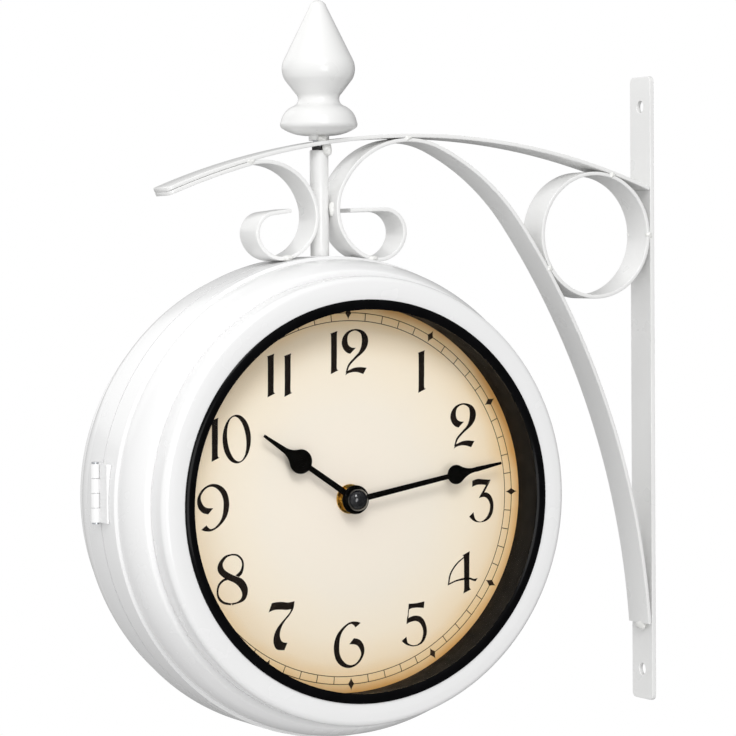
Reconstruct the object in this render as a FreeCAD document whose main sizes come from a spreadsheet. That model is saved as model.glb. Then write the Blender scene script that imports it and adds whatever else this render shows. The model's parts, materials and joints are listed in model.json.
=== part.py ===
"""Double sided wall clock on a scrolled bracket, in millimetres.

Frame: the origin lies on the back face of the wall bar, half way between its two screw holes.
+X points into the wall, +Z points up and -Y is the side of the front dial.
Pieces are drawn in the case frame, whose origin is the centre of the case on its mid-plane,
and are carried to the wall frame by their Placement. A depth, written u below, is counted from
the mid-plane of the case towards the dial, so the front half of the clock has y = -u.
"""
import FreeCAD
import Part
import Sketcher
import math
import os
from types import SimpleNamespace
from FreeCAD import Placement, Rotation, Vector

SIZES = {
    # bracket of flat bar
    "strip_width": 20.0,
    "strip_thick": 2.0,
    "bar_thick": 2.5,
    "bar_length": 335.0,
    "bar_corner": 3.0,
    "bar_rise": 59.0,
    "hole_inset": 16.0,
    "hole_radius": 3.2,
    "arm_radius": 373.8,
    "arm_overhang": 88.5,
    "tip_corner": 2.8,
    "foot_rise": 41.5,
    "side_gap": 71.0,
    "weld_gap": 0.15,
    "bead_radius": 2.3,
    "post_radius": 4.75,
    "stud_radius": 3.0,
    "stud_depth": 15.0,
    "thread_gap": 0.05,
    # finial
    "finial_lift": 6.0,
    "finial_width": 39.2,
    "finial_height": 65.0,
    "finial_dish": 3.6,
    "boss_radius": 5.2,
    # case of two pressed halves
    "rim_radius": 121.5,
    "rim_width": 17.4,
    "shoulder_step": 1.7,
    "shoulder_radius": 114.3,
    "shoulder_depth": 39.4,
    "shoulder_bulge": 2.0,
    "sheet_thick": 1.0,
    "seam_gap": 0.6,
    "case_clearance": 0.3,
    # bezel, rim and glass
    "bezel_radius": 111.5,
    "bezel_front": 54.2,
    "bezel_edge": 1.6,
    "lip_radius": 100.0,
    "lip_opening": 95.0,
    "lip_thick": 1.2,
    "tube_wall": 0.8,
    "sleeve_wall": 1.3,
    "glass_thick": 2.0,
    "dial_depth": 22.8,
    "dial_thick": 1.0,
    "fit_gap": 0.1,
    "clip_width": 10.0,
    # hinge and catch
    "hinge_height": 29.0,
    "hinge_lift": 6.0,
    "leaf_width": 11.0,
    "leaf_thick": 1.1,
    "knuckle_radius": 2.4,
    "pin_radius": 1.2,
    "running_gap": 0.05,
    "catch_height": 20.0,
    # movement and hands
    "movement_side": 56.0,
    "movement_thick": 16.0,
    "cell_radius": 7.15,
    "cell_length": 50.2,
    "cell_drop": 17.0,
    "bay_depth": 13.6,
    "knob_radius": 7.0,
    "knob_rise": 12.0,
    "bushing_radius": 4.0,
    "bushing_reach": 4.6,
    "washer_radius": 7.4,
    "hour_tube_radius": 2.55,
    "minute_shaft_radius": 1.6,
    "hand_thick": 0.6,
    "hour_lift": 5.4,
    "minute_lift": 8.0,
    "hour_length": 59.7,
    "minute_margin": 13.1,
    "cap_radius": 5.5,
}
size = SimpleNamespace(**SIZES)

# Hands at rest, in degrees clockwise from twelve.
HOUR_ANGLE = 304.0
MINUTE_ANGLE = 79.4

# Legs of the scrolls, each the radius of the strip's outer side and the angle it turns through.
LEFT_LEGS = [(30.2, 89.6), (22.8, 86.9), (15.25, 89.5), (11.0, 101.7)]
LEFT_TAIL = 10.1
LEFT_SLOPE = 15.2
CURL_LEGS = [(12.5, 112.3), (16.5, 87.8), (27.3, 99.4)]
CURL_TAIL = 19.6
CURL_SLOPE = 1.6
TOP_TURN = 86.7
SHOULDER_LEG = (121.7, 29.7)

doc = FreeCAD.newDocument("station_clock")
sheet = doc.addObject("Spreadsheet::Sheet", "sizes")
for row, (alias, value) in enumerate(SIZES.items(), start=1):
    sheet.set(f"A{row}", alias)
    sheet.set(f"B{row}", str(value))
    sheet.setAlias(f"B{row}", alias)
doc.recompute()

parts = {}


# ------------------------------------------------------------------ small drawing helpers
def keep(name, piece, placement):
    """Register a finished sub-part under its own name, at its place in the wall frame."""
    piece.Label = name
    piece.Placement = placement
    parts[name] = piece


def new_body(name):
    return doc.addObject("PartDesign::Body", name + "_body")


def new_sketch(body, role, name, lift=None):
    """Sketch on one of the body's own planes, lifted along the plane's normal by an expression."""
    plane = next(item for item in body.Origin.OriginFeatures if item.Role == role)
    sketch = body.newObject("Sketcher::SketchObject", name)
    sketch.AttachmentSupport = [(plane, "")]
    sketch.MapMode = "FlatFace"
    if lift:
        sketch.setExpression("AttachmentOffset.Base.z", lift)
    return sketch


def draw(sketch, start, steps, close=True):
    """Draw lines and arcs from start. A step is an end point, or a mid point and an end point."""
    here = start
    for step in steps:
        end = step[-1]
        if len(step) == 1:
            sketch.addGeometry(Part.LineSegment(here, end), False)
        else:
            sketch.addGeometry(Part.Arc(here, step[0], end), False)
        here = end
    if close:
        sketch.addGeometry(Part.LineSegment(here, start), False)


def draw_circle(sketch, radius, name, x=0.0, y=0.0):
    """Circle whose radius follows an expression on the sheet."""
    index = sketch.addGeometry(Part.Circle(Vector(x, y, 0), Vector(0, 0, 1), 1.0), False)
    if x == 0.0 and y == 0.0:
        sketch.addConstraint(Sketcher.Constraint("Coincident", index, 3, -1, 1))
    number = sketch.addConstraint(Sketcher.Constraint("Radius", index, 1.0))
    sketch.renameConstraint(number, name)
    sketch.setExpression("Constraints." + name, radius)


def draw_box(sketch, x_mid, y_mid, width, height):
    """Axis-parallel rectangle about a middle point."""
    corners = [Vector(x_mid + sx * width / 2, y_mid + sy * height / 2, 0)
               for sx, sy in ((-1, -1), (1, -1), (1, 1), (-1, 1))]
    draw(sketch, corners[0], [[corner] for corner in corners[1:]])


def pad(body, sketch, length, symmetric=False):
    feature = body.newObject("PartDesign::Pad", sketch.Name + "_pad")
    feature.Profile = sketch
    feature.SideType = "Symmetric" if symmetric else "One side"
    feature.setExpression("Length", length)
    return feature


def pocket(body, sketch, length=None, reverse=False):
    """Pocket of a given depth, or through everything on both sides."""
    feature = body.newObject("PartDesign::Pocket", sketch.Name + "_pocket")
    feature.Profile = sketch
    feature.Reversed = reverse
    if length is None:
        feature.SideType = "Symmetric"
        feature.Type = "ThroughAll"
    else:
        feature.setExpression("Length", length)
    return feature


def turn_about(body, sketch, axis):
    feature = body.newObject("PartDesign::Revolution", sketch.Name + "_turn")
    feature.Profile = sketch
    feature.ReferenceAxis = (sketch, [axis])
    feature.Angle = 360.0
    return feature


def fillet(body, base, length, radius, limit=math.inf):
    """Round the straight edges of base that have the given length and lie left of the limit."""
    doc.recompute()
    names = [f"Edge{number}" for number, edge in enumerate(base.Shape.Edges, start=1)
             if abs(edge.Length - length) < 1e-4 and edge.CenterOfMass.x < limit]
    feature = body.newObject("PartDesign::Fillet", body.Name + "_fillet")
    feature.Base = (base, names)
    feature.setExpression("Radius", radius)
    return feature


def bulge(start, end, height):
    """Mid point of an arc from start to end, pushed out to the left of the way by height."""
    along = end - start
    outward = Vector(-along.y, along.x, 0).normalize()
    return (start + end) * 0.5 + outward * height


def dome(edge, height, outwards):
    """Mid point and crown of a round cap whose centre lies on the axis of revolution."""
    radius = (edge.x ** 2 + height ** 2) / (2 * height)
    crown = edge + Vector(-edge.x, outwards * height, 0)
    centre = crown - Vector(0, outwards * radius, 0)
    half = math.asin(edge.x / radius) / 2
    middle = centre + Vector(math.sin(half), outwards * math.cos(half), 0) * radius
    return [middle, crown]


def primitive(kind, name, place, **expressions):
    """Part primitive with its sizes bound to the sheet."""
    item = doc.addObject("Part::" + kind, name)
    for key, text in expressions.items():
        item.setExpression(key, text)
    item.Placement = place
    return item


def boolean(kind, name, base, tool):
    item = doc.addObject("Part::" + kind, name)
    item.Base = base
    item.Tool = tool
    return item


def fuse(name, shapes):
    item = doc.addObject("Part::MultiFuse", name)
    item.Shapes = shapes
    return item


# ------------------------------------------------------------------ route of the bent strips
def right_of(heading):
    """Unit vector to the right of a heading, in the plane of the bracket (x, z as x, y)."""
    angle = math.radians(heading)
    return Vector(math.sin(angle), -math.cos(angle), 0)


def ahead_of(heading):
    angle = math.radians(heading)
    return Vector(math.cos(angle), math.sin(angle), 0)


def centres(start, heading, legs):
    """Arc centres along a strip that only turns right, with its end point and heading."""
    found = []
    for radius, turn in legs:
        centre = start + right_of(heading) * radius
        heading -= turn
        start = centre - right_of(heading) * radius
        found.append(centre)
    return found, start, heading


def strip_side(start, heading, legs, inset, tail=0.0):
    """Start point and drawing steps of the line that runs inset to the right of the outer side."""
    steps = []
    first = start + right_of(heading) * inset
    for radius, turn in legs:
        centre = start + right_of(heading) * radius
        middle = centre - right_of(heading - turn / 2) * (radius - inset)
        heading -= turn
        start = centre - right_of(heading) * radius
        steps.append([middle, centre - right_of(heading) * (radius - inset)])
    if tail:
        start = start + ahead_of(heading) * tail
        steps.append([start + right_of(heading) * inset])
    return first, steps


def turn_until(centre, radius, heading, wall):
    """Angle that an arc about centre turns through from a heading until it meets x = wall."""
    return (heading - math.degrees(math.asin((centre.x - wall) / radius))) % 360


def strip_body(name, sides):
    """Flat bar on edge: two side lines joined by end caps, as wide as the bar."""
    body = new_body(name)
    sketch = new_sketch(body, "XZ_Plane", name + "_outline")
    (outer_start, outer), (inner_start, inner) = sides
    draw(sketch, outer_start, outer, close=False)
    draw(sketch, inner_start, inner, close=False)
    sketch.addGeometry(Part.LineSegment(outer_start, inner_start), False)
    sketch.addGeometry(Part.LineSegment(outer[-1][-1], inner[-1][-1]), False)
    return body, pad(body, sketch, "sizes.strip_width", symmetric=True)


# The left scroll touches the post with its second leg and the case with its third.
reach = size.rim_radius + size.side_gap
rest_radius = size.rim_radius + size.case_clearance
touch = size.post_radius + size.weld_gap
found, _, _ = centres(Vector(0, 0, 0), LEFT_SLOPE, LEFT_LEGS)
shift_x = -touch - LEFT_LEGS[1][0] - found[1].x
span = rest_radius + LEFT_LEGS[2][0]
shift_z = math.sqrt(span ** 2 - (found[2].x + shift_x) ** 2) - found[2].y
left_start = Vector(shift_x, shift_z, 0)
left_centres, _, _ = centres(left_start, LEFT_SLOPE, LEFT_LEGS)

# The arm's underside meets the left scroll at a tangent, which places the arm's own centre.
under_radius = size.arm_radius - size.strip_thick - size.weld_gap
arm_centre = left_start + right_of(LEFT_SLOPE) * under_radius
tip_slope = math.degrees(math.asin((arm_centre.x + size.arm_overhang) / size.arm_radius))
arm_start = arm_centre - right_of(tip_slope) * size.arm_radius

# The right scroll touches the post with its third leg and the case with its second.
# Its top leg is as large as it must be to meet the arm's underside at a tangent.
curl_end = ahead_of(CURL_SLOPE) * CURL_TAIL
found, _, _ = centres(curl_end, CURL_SLOPE, CURL_LEGS)
shift_x = touch + CURL_LEGS[2][0] - found[2].x
span = rest_radius + CURL_LEGS[1][0]
shift_z = math.sqrt(span ** 2 - (found[1].x + shift_x) ** 2) - found[1].y
curl_start = Vector(shift_x, shift_z, 0)
curl_centres, knee, knee_slope = centres(curl_start + curl_end, CURL_SLOPE, CURL_LEGS)
from_arm = knee - arm_centre
top_radius = (under_radius ** 2 - from_arm.Length ** 2)
top_radius /= 2 * (from_arm.dot(right_of(knee_slope)) + under_radius)
top_leg = (top_radius, TOP_TURN)
upper_legs = CURL_LEGS + [top_leg, SHOULDER_LEG]
upper_centres, brace_start, brace_slope = centres(curl_start + curl_end, CURL_SLOPE, upper_legs)

# The wall bar hangs from the arm's end, and the brace lands on it above its lower end.
wall_face = reach - size.weld_gap
arm_end = arm_centre.y + math.sqrt(size.arm_radius ** 2 - (reach - arm_centre.x) ** 2)
bar_top = arm_end + size.bar_rise
bar_middle = bar_top - size.bar_length / 2
foot = Vector(wall_face, bar_top - size.bar_length + size.foot_rise, 0)
to_foot = foot - brace_start
brace_radius = to_foot.Length ** 2 / (2 * to_foot.dot(right_of(brace_slope)))
brace_centre = brace_start + right_of(brace_slope) * brace_radius


def ring_miss(radius):
    """Centre of a ring that touches arm and bar, and its distance from touching the brace."""
    x = wall_face - radius
    rise = math.sqrt((under_radius - radius) ** 2 - (x - arm_centre.x) ** 2)
    centre = Vector(x, arm_centre.y + rise, 0)
    miss = (centre - brace_centre).Length - (brace_radius + size.weld_gap + radius)
    return centre, miss


low, high = 5.0, 80.0
for _ in range(50):
    ring_radius = (low + high) / 2
    ring_centre, miss = ring_miss(ring_radius)
    low, high = (ring_radius, high) if miss > 0 else (low, ring_radius)

at_case = Placement(Vector(-reach - size.bar_thick, 0, -bar_middle), Rotation())
about_y = Rotation(Vector(1, 0, 0), 90)


# ------------------------------------------------------------------ bracket
def build_wall_bar():
    """Flat bar with rounded corners and two screw holes, its back on the wall."""
    body = new_body("wall_bar")
    sketch = new_sketch(body, "YZ_Plane", "wall_bar_outline", "-sizes.bar_thick")
    draw_box(sketch, 0, 0, size.strip_width, size.bar_length)
    plate = pad(body, sketch, "sizes.bar_thick")
    fillet(body, plate, size.bar_thick, "sizes.bar_corner")
    holes = new_sketch(body, "YZ_Plane", "wall_bar_holes")
    half_row = size.bar_length / 2 - size.hole_inset
    for number, side in enumerate((-1, 1)):
        draw_circle(holes, "sizes.hole_radius", f"hole_{number}", 0, side * half_row)
    pocket(body, holes)
    keep("wall_bar", body, Placement())


def arm_sides():
    sides = []
    for inset in (0.0, size.strip_thick):
        radius = size.arm_radius - inset
        turn = turn_until(arm_centre, radius, tip_slope, wall_face)
        sides.append(strip_side(arm_start, tip_slope, [(size.arm_radius, turn)], inset))
    return sides


def round_tip(body, strip):
    """Round the two corners of a strip's free end, seen from above."""
    fillet(body, strip, size.strip_thick, "sizes.tip_corner", -size.rim_radius / 2)


def build_top_arm():
    body, strip = strip_body("top_arm", arm_sides())
    round_tip(body, strip)
    hole = new_sketch(body, "XY_Plane", "top_arm_hole")
    draw_circle(hole, "sizes.stud_radius + sizes.fit_gap", "stud_hole")
    pocket(body, hole)
    keep("top_arm", body, at_case)


def build_left_scroll():
    """Strip that lies under the arm from its tip, then rolls down past the post."""
    start = arm_centre - right_of(tip_slope) * under_radius
    legs = [(under_radius, tip_slope - LEFT_SLOPE)] + LEFT_LEGS
    sides = [strip_side(start, tip_slope, legs, inset, LEFT_TAIL)
             for inset in (0.0, size.strip_thick)]
    body, strip = strip_body("left_scroll", sides)
    round_tip(body, strip)
    keep("left_scroll", body, at_case)


def build_brace_scroll():
    """One strip: small curl, turn beside the post, top against the arm, brace to the wall bar."""
    sides = []
    turn = turn_until(brace_centre, brace_radius, brace_slope, wall_face)
    legs = upper_legs + [(brace_radius, turn)]
    for inset in (0.0, size.strip_thick):
        first, steps = strip_side(curl_start + curl_end, CURL_SLOPE, legs, inset)
        tail = curl_start + right_of(CURL_SLOPE) * inset
        sides.append((tail, [[first]] + steps))
    body, _ = strip_body("brace_scroll", sides)
    keep("brace_scroll", body, at_case)


def build_bracket_ring():
    """Closed ring of the same strip, held by arm, brace and bar."""
    body = new_body("bracket_ring")
    sketch = new_sketch(body, "XZ_Plane", "bracket_ring_outline")
    for radius in (ring_radius, ring_radius - size.strip_thick):
        sketch.addGeometry(Part.Circle(ring_centre, Vector(0, 0, 1), radius), False)
    pad(body, sketch, "sizes.strip_width", symmetric=True)
    keep("bracket_ring", body, at_case)


def cross_cylinder(name, centre, radius):
    """Cylinder along Y, wider than the case, used to trim pieces to a curved neighbour."""
    item = doc.addObject("Part::Cylinder", name)
    item.Radius = radius
    item.setExpression("Height", "sizes.rim_radius")
    item.Placement = Placement(Vector(centre.x, SIZES["rim_radius"] / 2, centre.y), about_y)
    return item


def build_post():
    """Round bar from the case rim to the arm's underside, tapped for the finial's stud."""
    rod = primitive("Cylinder", "post_rod", Placement(), Radius="sizes.post_radius",
                    Height="sizes.rim_radius * 2")
    under_arm = cross_cylinder("post_top_trim", arm_centre, under_radius)
    on_case = cross_cylinder("post_foot_trim", Vector(0, 0, 0), rest_radius)
    trimmed = boolean("Common", "post_trimmed", rod, under_arm)
    seated = boolean("Cut", "post_seated", trimmed, on_case)
    thread = primitive("Cylinder", "post_thread", Placement(Vector(0, 0, stud_base), Rotation()),
                       Radius="sizes.stud_radius + sizes.thread_gap", Height="sizes.rim_radius")
    keep("post", boolean("Cut", "post_piece", seated, thread), at_case)


arm_top = arm_centre.y + math.sqrt(size.arm_radius ** 2 - arm_centre.x ** 2)
arm_under = arm_centre.y + math.sqrt(under_radius ** 2 - arm_centre.x ** 2)
stud_base = arm_under - size.stud_depth
finial_base = arm_top + size.finial_lift


def build_finial():
    """Turned knob: dished foot, hollow neck, full belly, straight taper to a blunt tip."""
    wide = size.finial_width / 2
    tall = size.finial_height
    level = lambda share, height: Vector(share * wide, finial_base + height * tall, 0)
    foot_edge = level(0.95, 0.0)
    tip = level(0.22, 0.955)
    steps = [
        [level(1.0, 0.025), level(0.985, 0.055)],
        [level(0.89, 0.125), level(0.645, 0.18)],
        [level(0.535, 0.225), level(0.60, 0.275)],
        [level(0.88, 0.385)],
        [level(0.95, 0.47), level(0.88, 0.55)],
        [tip],
        dome(tip, 0.045 * tall, 1),
        [Vector(0, arm_under, 0)],
        [Vector(size.boss_radius, arm_under, 0)],
        [Vector(size.boss_radius, finial_base - size.finial_dish, 0)],
    ]
    neck = steps[-1][0]
    steps.append([bulge(neck, foot_edge, -size.finial_dish * 0.3), foot_edge])
    body = new_body("finial")
    sketch = new_sketch(body, "XZ_Plane", "finial_profile")
    draw(sketch, foot_edge, steps, close=False)
    turn_about(body, sketch, "V_Axis")
    bore = new_sketch(body, "XY_Plane", "finial_bore")
    bore.AttachmentOffset = Placement(Vector(0, 0, finial_base + size.stud_depth), Rotation())
    draw_circle(bore, "sizes.stud_radius + sizes.thread_gap", "bore")
    pocket(body, bore, "sizes.rim_radius")
    on_arm = cross_cylinder("finial_trim", arm_centre, size.arm_radius + size.weld_gap)
    keep("finial", boolean("Cut", "finial_piece", body, on_arm), at_case)


def build_finial_stud():
    length = finial_base + size.stud_depth - stud_base - 2 * size.fit_gap
    stud = primitive("Cylinder", "stud_rod", Placement(), Radius="sizes.stud_radius")
    stud.Height = length
    keep("finial_stud", stud, at_case * Placement(Vector(0, 0, stud_base + size.fit_gap), Rotation()))


# ------------------------------------------------------------------ case
def case_point(radius, depth):
    return Vector(radius, -depth, 0)


def build_case_half(name, place):
    """Pressed half: flat rim, small step, bulged shoulder and a flange for the bezel."""
    thick = size.sheet_thick
    seam = size.seam_gap / 2
    flange = size.lip_radius + size.sheet_thick
    step_depth = size.rim_width + thick
    rim = size.rim_radius
    step_radius = rim - size.shoulder_step
    outer_step = case_point(step_radius, step_depth)
    outer_front = case_point(size.shoulder_radius, size.shoulder_depth)
    inner_step = case_point(step_radius - thick, step_depth)
    inner_front = case_point(size.shoulder_radius - thick, size.shoulder_depth - thick)
    steps = [
        [case_point(rim, size.rim_width)],
        [outer_step],
        [bulge(outer_step, outer_front, size.shoulder_bulge), outer_front],
        [case_point(flange, size.shoulder_depth)],
        [case_point(flange, size.shoulder_depth - thick)],
        [inner_front],
        [bulge(inner_front, inner_step, -size.shoulder_bulge), inner_step],
        [case_point(rim - thick, size.rim_width)],
        [case_point(rim - thick, seam)],
    ]
    body = new_body(name)
    sketch = new_sketch(body, "XY_Plane", name + "_profile")
    draw(sketch, case_point(rim, seam), steps)
    turn_about(body, sketch, "V_Axis")
    keep(name, body, place)


def build_bezel(name, place):
    """White ring in front of the case: foot flange, side wall, rounded edge and flat face."""
    thick = size.sheet_thick
    outer = size.bezel_radius
    edge = size.bezel_edge
    hole = size.lip_radius - thick + size.fit_gap
    back = size.shoulder_depth
    front = size.bezel_front
    corner = edge * (1 - math.sqrt(0.5))
    steps = [
        [case_point(outer, front - edge)],
        [case_point(outer - corner, front - corner), case_point(outer - edge, front)],
        [case_point(hole, front)],
        [case_point(hole, front - thick)],
        [case_point(outer - edge, front - thick)],
        [case_point(outer - thick, front - edge)],
        [case_point(outer - thick, back + thick)],
        [case_point(outer - 6 * thick, back + thick)],
        [case_point(outer - 6 * thick, back)],
    ]
    body = new_body(name)
    sketch = new_sketch(body, "XY_Plane", name + "_profile")
    draw(sketch, case_point(outer, back), steps)
    turn_about(body, sketch, "V_Axis")
    keep(name, body, place)


def build_rim(name, place):
    """Black retaining ring: crowned lip in front, thin tube back to the dial."""
    front = size.bezel_front
    tube_outer = size.lip_radius - size.sheet_thick
    tube_inner = tube_outer - size.tube_wall
    lip_edge = front + size.lip_thick / 2
    lip_middle = (size.lip_radius + size.lip_opening) / 2
    steps = [
        [case_point(size.lip_opening, lip_edge)],
        [case_point(lip_middle, front + size.lip_thick), case_point(size.lip_radius, lip_edge)],
        [case_point(size.lip_radius, front)],
        [case_point(tube_outer, front)],
        [case_point(tube_outer, front - size.dial_depth)],
        [case_point(tube_inner, front - size.dial_depth)],
        [case_point(tube_inner, front)],
    ]
    body = new_body(name)
    sketch = new_sketch(body, "XY_Plane", name + "_profile")
    draw(sketch, case_point(size.lip_opening, front), steps)
    turn_about(body, sketch, "V_Axis")
    keep(name, body, place)


# Depths and radii of the flat pieces, as expressions on the sheet.
DIAL_FRONT = "sizes.bezel_front - sizes.dial_depth"
DIAL_BACK = DIAL_FRONT + " - sizes.dial_thick"
GLASS_BACK = "sizes.bezel_front - sizes.glass_thick"
TUBE_INNER = "sizes.lip_radius - sizes.sheet_thick - sizes.tube_wall"
SHAFT_BACK = DIAL_BACK + " - 1.9"
dial_front = size.bezel_front - size.dial_depth
dial_back = dial_front - size.dial_thick
movement_back = dial_back - size.movement_thick


def build_disc(name, place, outer, inner, start, length):
    """Flat disc or tube about the clock's axis, from a start depth towards the dial side."""
    body = new_body(name)
    sketch = new_sketch(body, "XZ_Plane", name + "_circles", start)
    draw_circle(sketch, outer, "outer")
    if inner:
        draw_circle(sketch, inner, "inner")
    pad(body, sketch, length)
    keep(name, body, place)


def build_clips(name, place):
    """Four Z clips that hold the dial from behind against the case flange."""
    thick = size.sheet_thick
    seat = size.shoulder_depth - thick
    leg = size.lip_radius + 2 * size.sheet_thick
    foot_end = size.bezel_radius
    toe_end = size.lip_opening - 2.0
    steps = [
        [case_point(foot_end, seat - thick)],
        [case_point(leg + thick, seat - thick)],
        [case_point(leg + thick, dial_back - thick)],
        [case_point(toe_end, dial_back - thick)],
        [case_point(toe_end, dial_back)],
        [case_point(leg, dial_back)],
        [case_point(leg, seat)],
    ]
    body = new_body(name)
    sketch = new_sketch(body, "XY_Plane", name + "_profile")
    draw(sketch, case_point(foot_end, seat), steps)
    clip = pad(body, sketch, "sizes.clip_width", symmetric=True)
    pattern = body.newObject("PartDesign::PolarPattern", name + "_pattern")
    pattern.Originals = [clip]
    pattern.Axis = (sketch, ["V_Axis"])
    pattern.Angle = 360.0
    pattern.Occurrences = 4
    body.Tip = pattern
    keep(name, body, place * Placement(Vector(), Rotation(Vector(0, 1, 0), 45)))


# ------------------------------------------------------------------ movement and hands
def build_movement(name, place):
    """Moulded box behind the dial, with its cell bay, setting recess, hanger and shaft seat."""
    body = new_body(name)
    back = DIAL_BACK + " - sizes.movement_thick"
    outline = new_sketch(body, "XZ_Plane", name + "_outline", back)
    draw_box(outline, 0, 0, size.movement_side, size.movement_side)
    block = pad(body, outline, "sizes.movement_thick")
    half = size.movement_side / 2
    fillet(body, block, size.movement_thick, "sizes.movement_side * 0.05")
    hanger = new_sketch(body, "XZ_Plane", name + "_hanger", DIAL_BACK + " - 2")
    draw_box(hanger, 0, half + 3.0, 16.0, 8.0)
    draw_circle(hanger, "sizes.hole_radius - 0.8", "hanger_hole", 0, half + 3.2)
    pad(body, hanger, "2")
    bay = new_sketch(body, "XZ_Plane", name + "_bay", back)
    bay_width = size.cell_length + 2.4
    bay_height = 2 * size.cell_radius + 0.8
    draw_box(bay, 0, -size.cell_drop, bay_width, bay_height)
    pocket(body, bay, "sizes.bay_depth", reverse=True)
    recess = new_sketch(body, "XZ_Plane", name + "_recess", back)
    draw_circle(recess, "sizes.knob_radius + 1", "recess", 0, size.knob_rise)
    pocket(body, recess, "3", reverse=True)
    socket = new_sketch(body, "XZ_Plane", name + "_socket", back)
    draw_circle(socket, "2 + sizes.running_gap", "socket", 0, size.knob_rise)
    pocket(body, socket, "7", reverse=True)
    seat = new_sketch(body, "XZ_Plane", name + "_seat", DIAL_BACK)
    draw_circle(seat, "sizes.bushing_radius + sizes.thread_gap", "seat")
    pocket(body, seat, "2")
    keep(name, body, place)


def build_contacts(name, place):
    """Two contact plates at the ends of the cell bay."""
    body = new_body(name)
    sketch = new_sketch(body, "XZ_Plane", name + "_plates", DIAL_BACK + " - sizes.bay_depth")
    for side in (-1, 1):
        draw_box(sketch, side * (size.cell_length / 2 + 0.8), -size.cell_drop, 0.4, 10.0)
    pad(body, sketch, "sizes.bay_depth * 0.7")
    keep(name, body, place)


def build_cell(name, place):
    """Round dry cell lying in the bay, with its raised pole."""
    half = size.cell_length / 2
    radius = size.cell_radius
    steps = [
        [Vector(-half, radius - 0.4, 0)],
        [Vector(-half + 0.4, radius, 0)],
        [Vector(half - 1.6, radius, 0)],
        [Vector(half - 1.2, radius - 0.4, 0)],
        [Vector(half - 1.2, 2.75, 0)],
        [Vector(half, 2.75, 0)],
        [Vector(half, 0, 0)],
    ]
    body = new_body(name)
    sketch = new_sketch(body, "XY_Plane", name + "_profile")
    draw(sketch, Vector(-half, 0, 0), steps)
    turn_about(body, sketch, "H_Axis")
    depth = movement_back + size.bay_depth - radius - 2 * size.fit_gap
    keep(name, body, place * Placement(Vector(0, -depth, -size.cell_drop), Rotation()))


def build_knob(name, place):
    """Setting wheel in its recess, on a stub that runs in the movement."""
    body = new_body(name)
    back = DIAL_BACK + " - sizes.movement_thick"
    wheel = new_sketch(body, "XZ_Plane", name + "_wheel", back + " - 1.2")
    draw_circle(wheel, "sizes.knob_radius", "wheel")
    pad(body, wheel, "4")
    stub = new_sketch(body, "XZ_Plane", name + "_stub", back)
    draw_circle(stub, "2", "stub")
    pad(body, stub, "6.8")
    keep(name, body, place * Placement(Vector(0, 0, size.knob_rise), Rotation()))


def build_nut(name, place):
    """Six sided nut that clamps washer and dial on the bushing."""
    height = 2.2
    start = dial_front + 0.8
    at_nut = Placement(Vector(0, -start, 0), about_y)
    block = primitive("Prism", name + "_block", at_nut, Circumradius="sizes.washer_radius * 0.86")
    block.Polygon = 6
    block.Height = height
    bore = primitive("Cylinder", name + "_bore", at_nut,
                     Radius="sizes.bushing_radius + sizes.thread_gap")
    bore.Height = height
    keep(name, boolean("Cut", name + "_piece", block, bore), place)


# The minute hand ends short of the sleeve inside the tube of the rim.
sleeve_bore = size.lip_radius - size.sheet_thick - size.tube_wall - size.sleeve_wall
minute_length = sleeve_bore - size.minute_margin


def build_hand(name, place, angle, lift, length, hub, hole, stem, spade, pointer):
    """Spade hand of thin sheet, drawn upright and then turned to its rest angle.

    stem, spade and pointer are pairs: stem widths at hub and spade, spade centre and radius,
    pointer base height and tip width.
    """
    spade_height, spade_radius = spade
    base_height, tip_width = pointer
    half_hub, half_end = stem[0] / 2, stem[1] / 2
    shoulder_turn = math.radians(38)
    hub_point = Vector(half_hub, math.sqrt(hub ** 2 - half_hub ** 2), 0)
    neck_rise = math.sqrt(spade_radius ** 2 - half_end ** 2)
    neck = Vector(half_end, spade_height - neck_rise, 0)
    spade_side = Vector(spade_radius, spade_height, 0)
    shoulder = Vector(spade_radius * math.cos(shoulder_turn),
                      spade_height + spade_radius * math.sin(shoulder_turn), 0)
    base = Vector(half_end, base_height, 0)
    tip = Vector(tip_width / 2, length, 0)
    flip = lambda point: Vector(-point.x, point.y, 0)
    hollow = bulge(shoulder, base, (base - shoulder).Length * 0.10)
    steps = [
        [neck],
        [spade_side, shoulder],
        [hollow, base],
        [tip],
        [flip(tip)],
        [flip(base)],
        [flip(hollow), flip(shoulder)],
        [flip(spade_side), flip(neck)],
        [flip(hub_point)],
        [Vector(0, -hub, 0), hub_point],
    ]
    body = new_body(name)
    sketch = new_sketch(body, "XZ_Plane", name + "_outline", DIAL_FRONT + " + " + lift)
    draw(sketch, hub_point, steps, close=False)
    draw_circle(sketch, hole, "hole")
    pad(body, sketch, "sizes.hand_thick")
    keep(name, body, place * Placement(Vector(), Rotation(Vector(0, 1, 0), angle)))


def build_cap(name, place):
    """Domed cap nut on the end of the minute shaft."""
    base = dial_front + size.minute_lift + size.hand_thick + size.fit_gap
    bore = size.minute_shaft_radius + size.thread_gap
    radius = size.cap_radius
    edge = case_point(radius, base + 0.8)
    steps = [
        [edge],
        dome(edge, 3.0, -1),
        [case_point(0, base + 1.6)],
        [case_point(bore, base + 1.6)],
        [case_point(bore, base)],
    ]
    body = new_body(name)
    sketch = new_sketch(body, "XY_Plane", name + "_profile")
    draw(sketch, case_point(radius, base), steps)
    turn_about(body, sketch, "V_Axis")
    keep(name, body, place)


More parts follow.
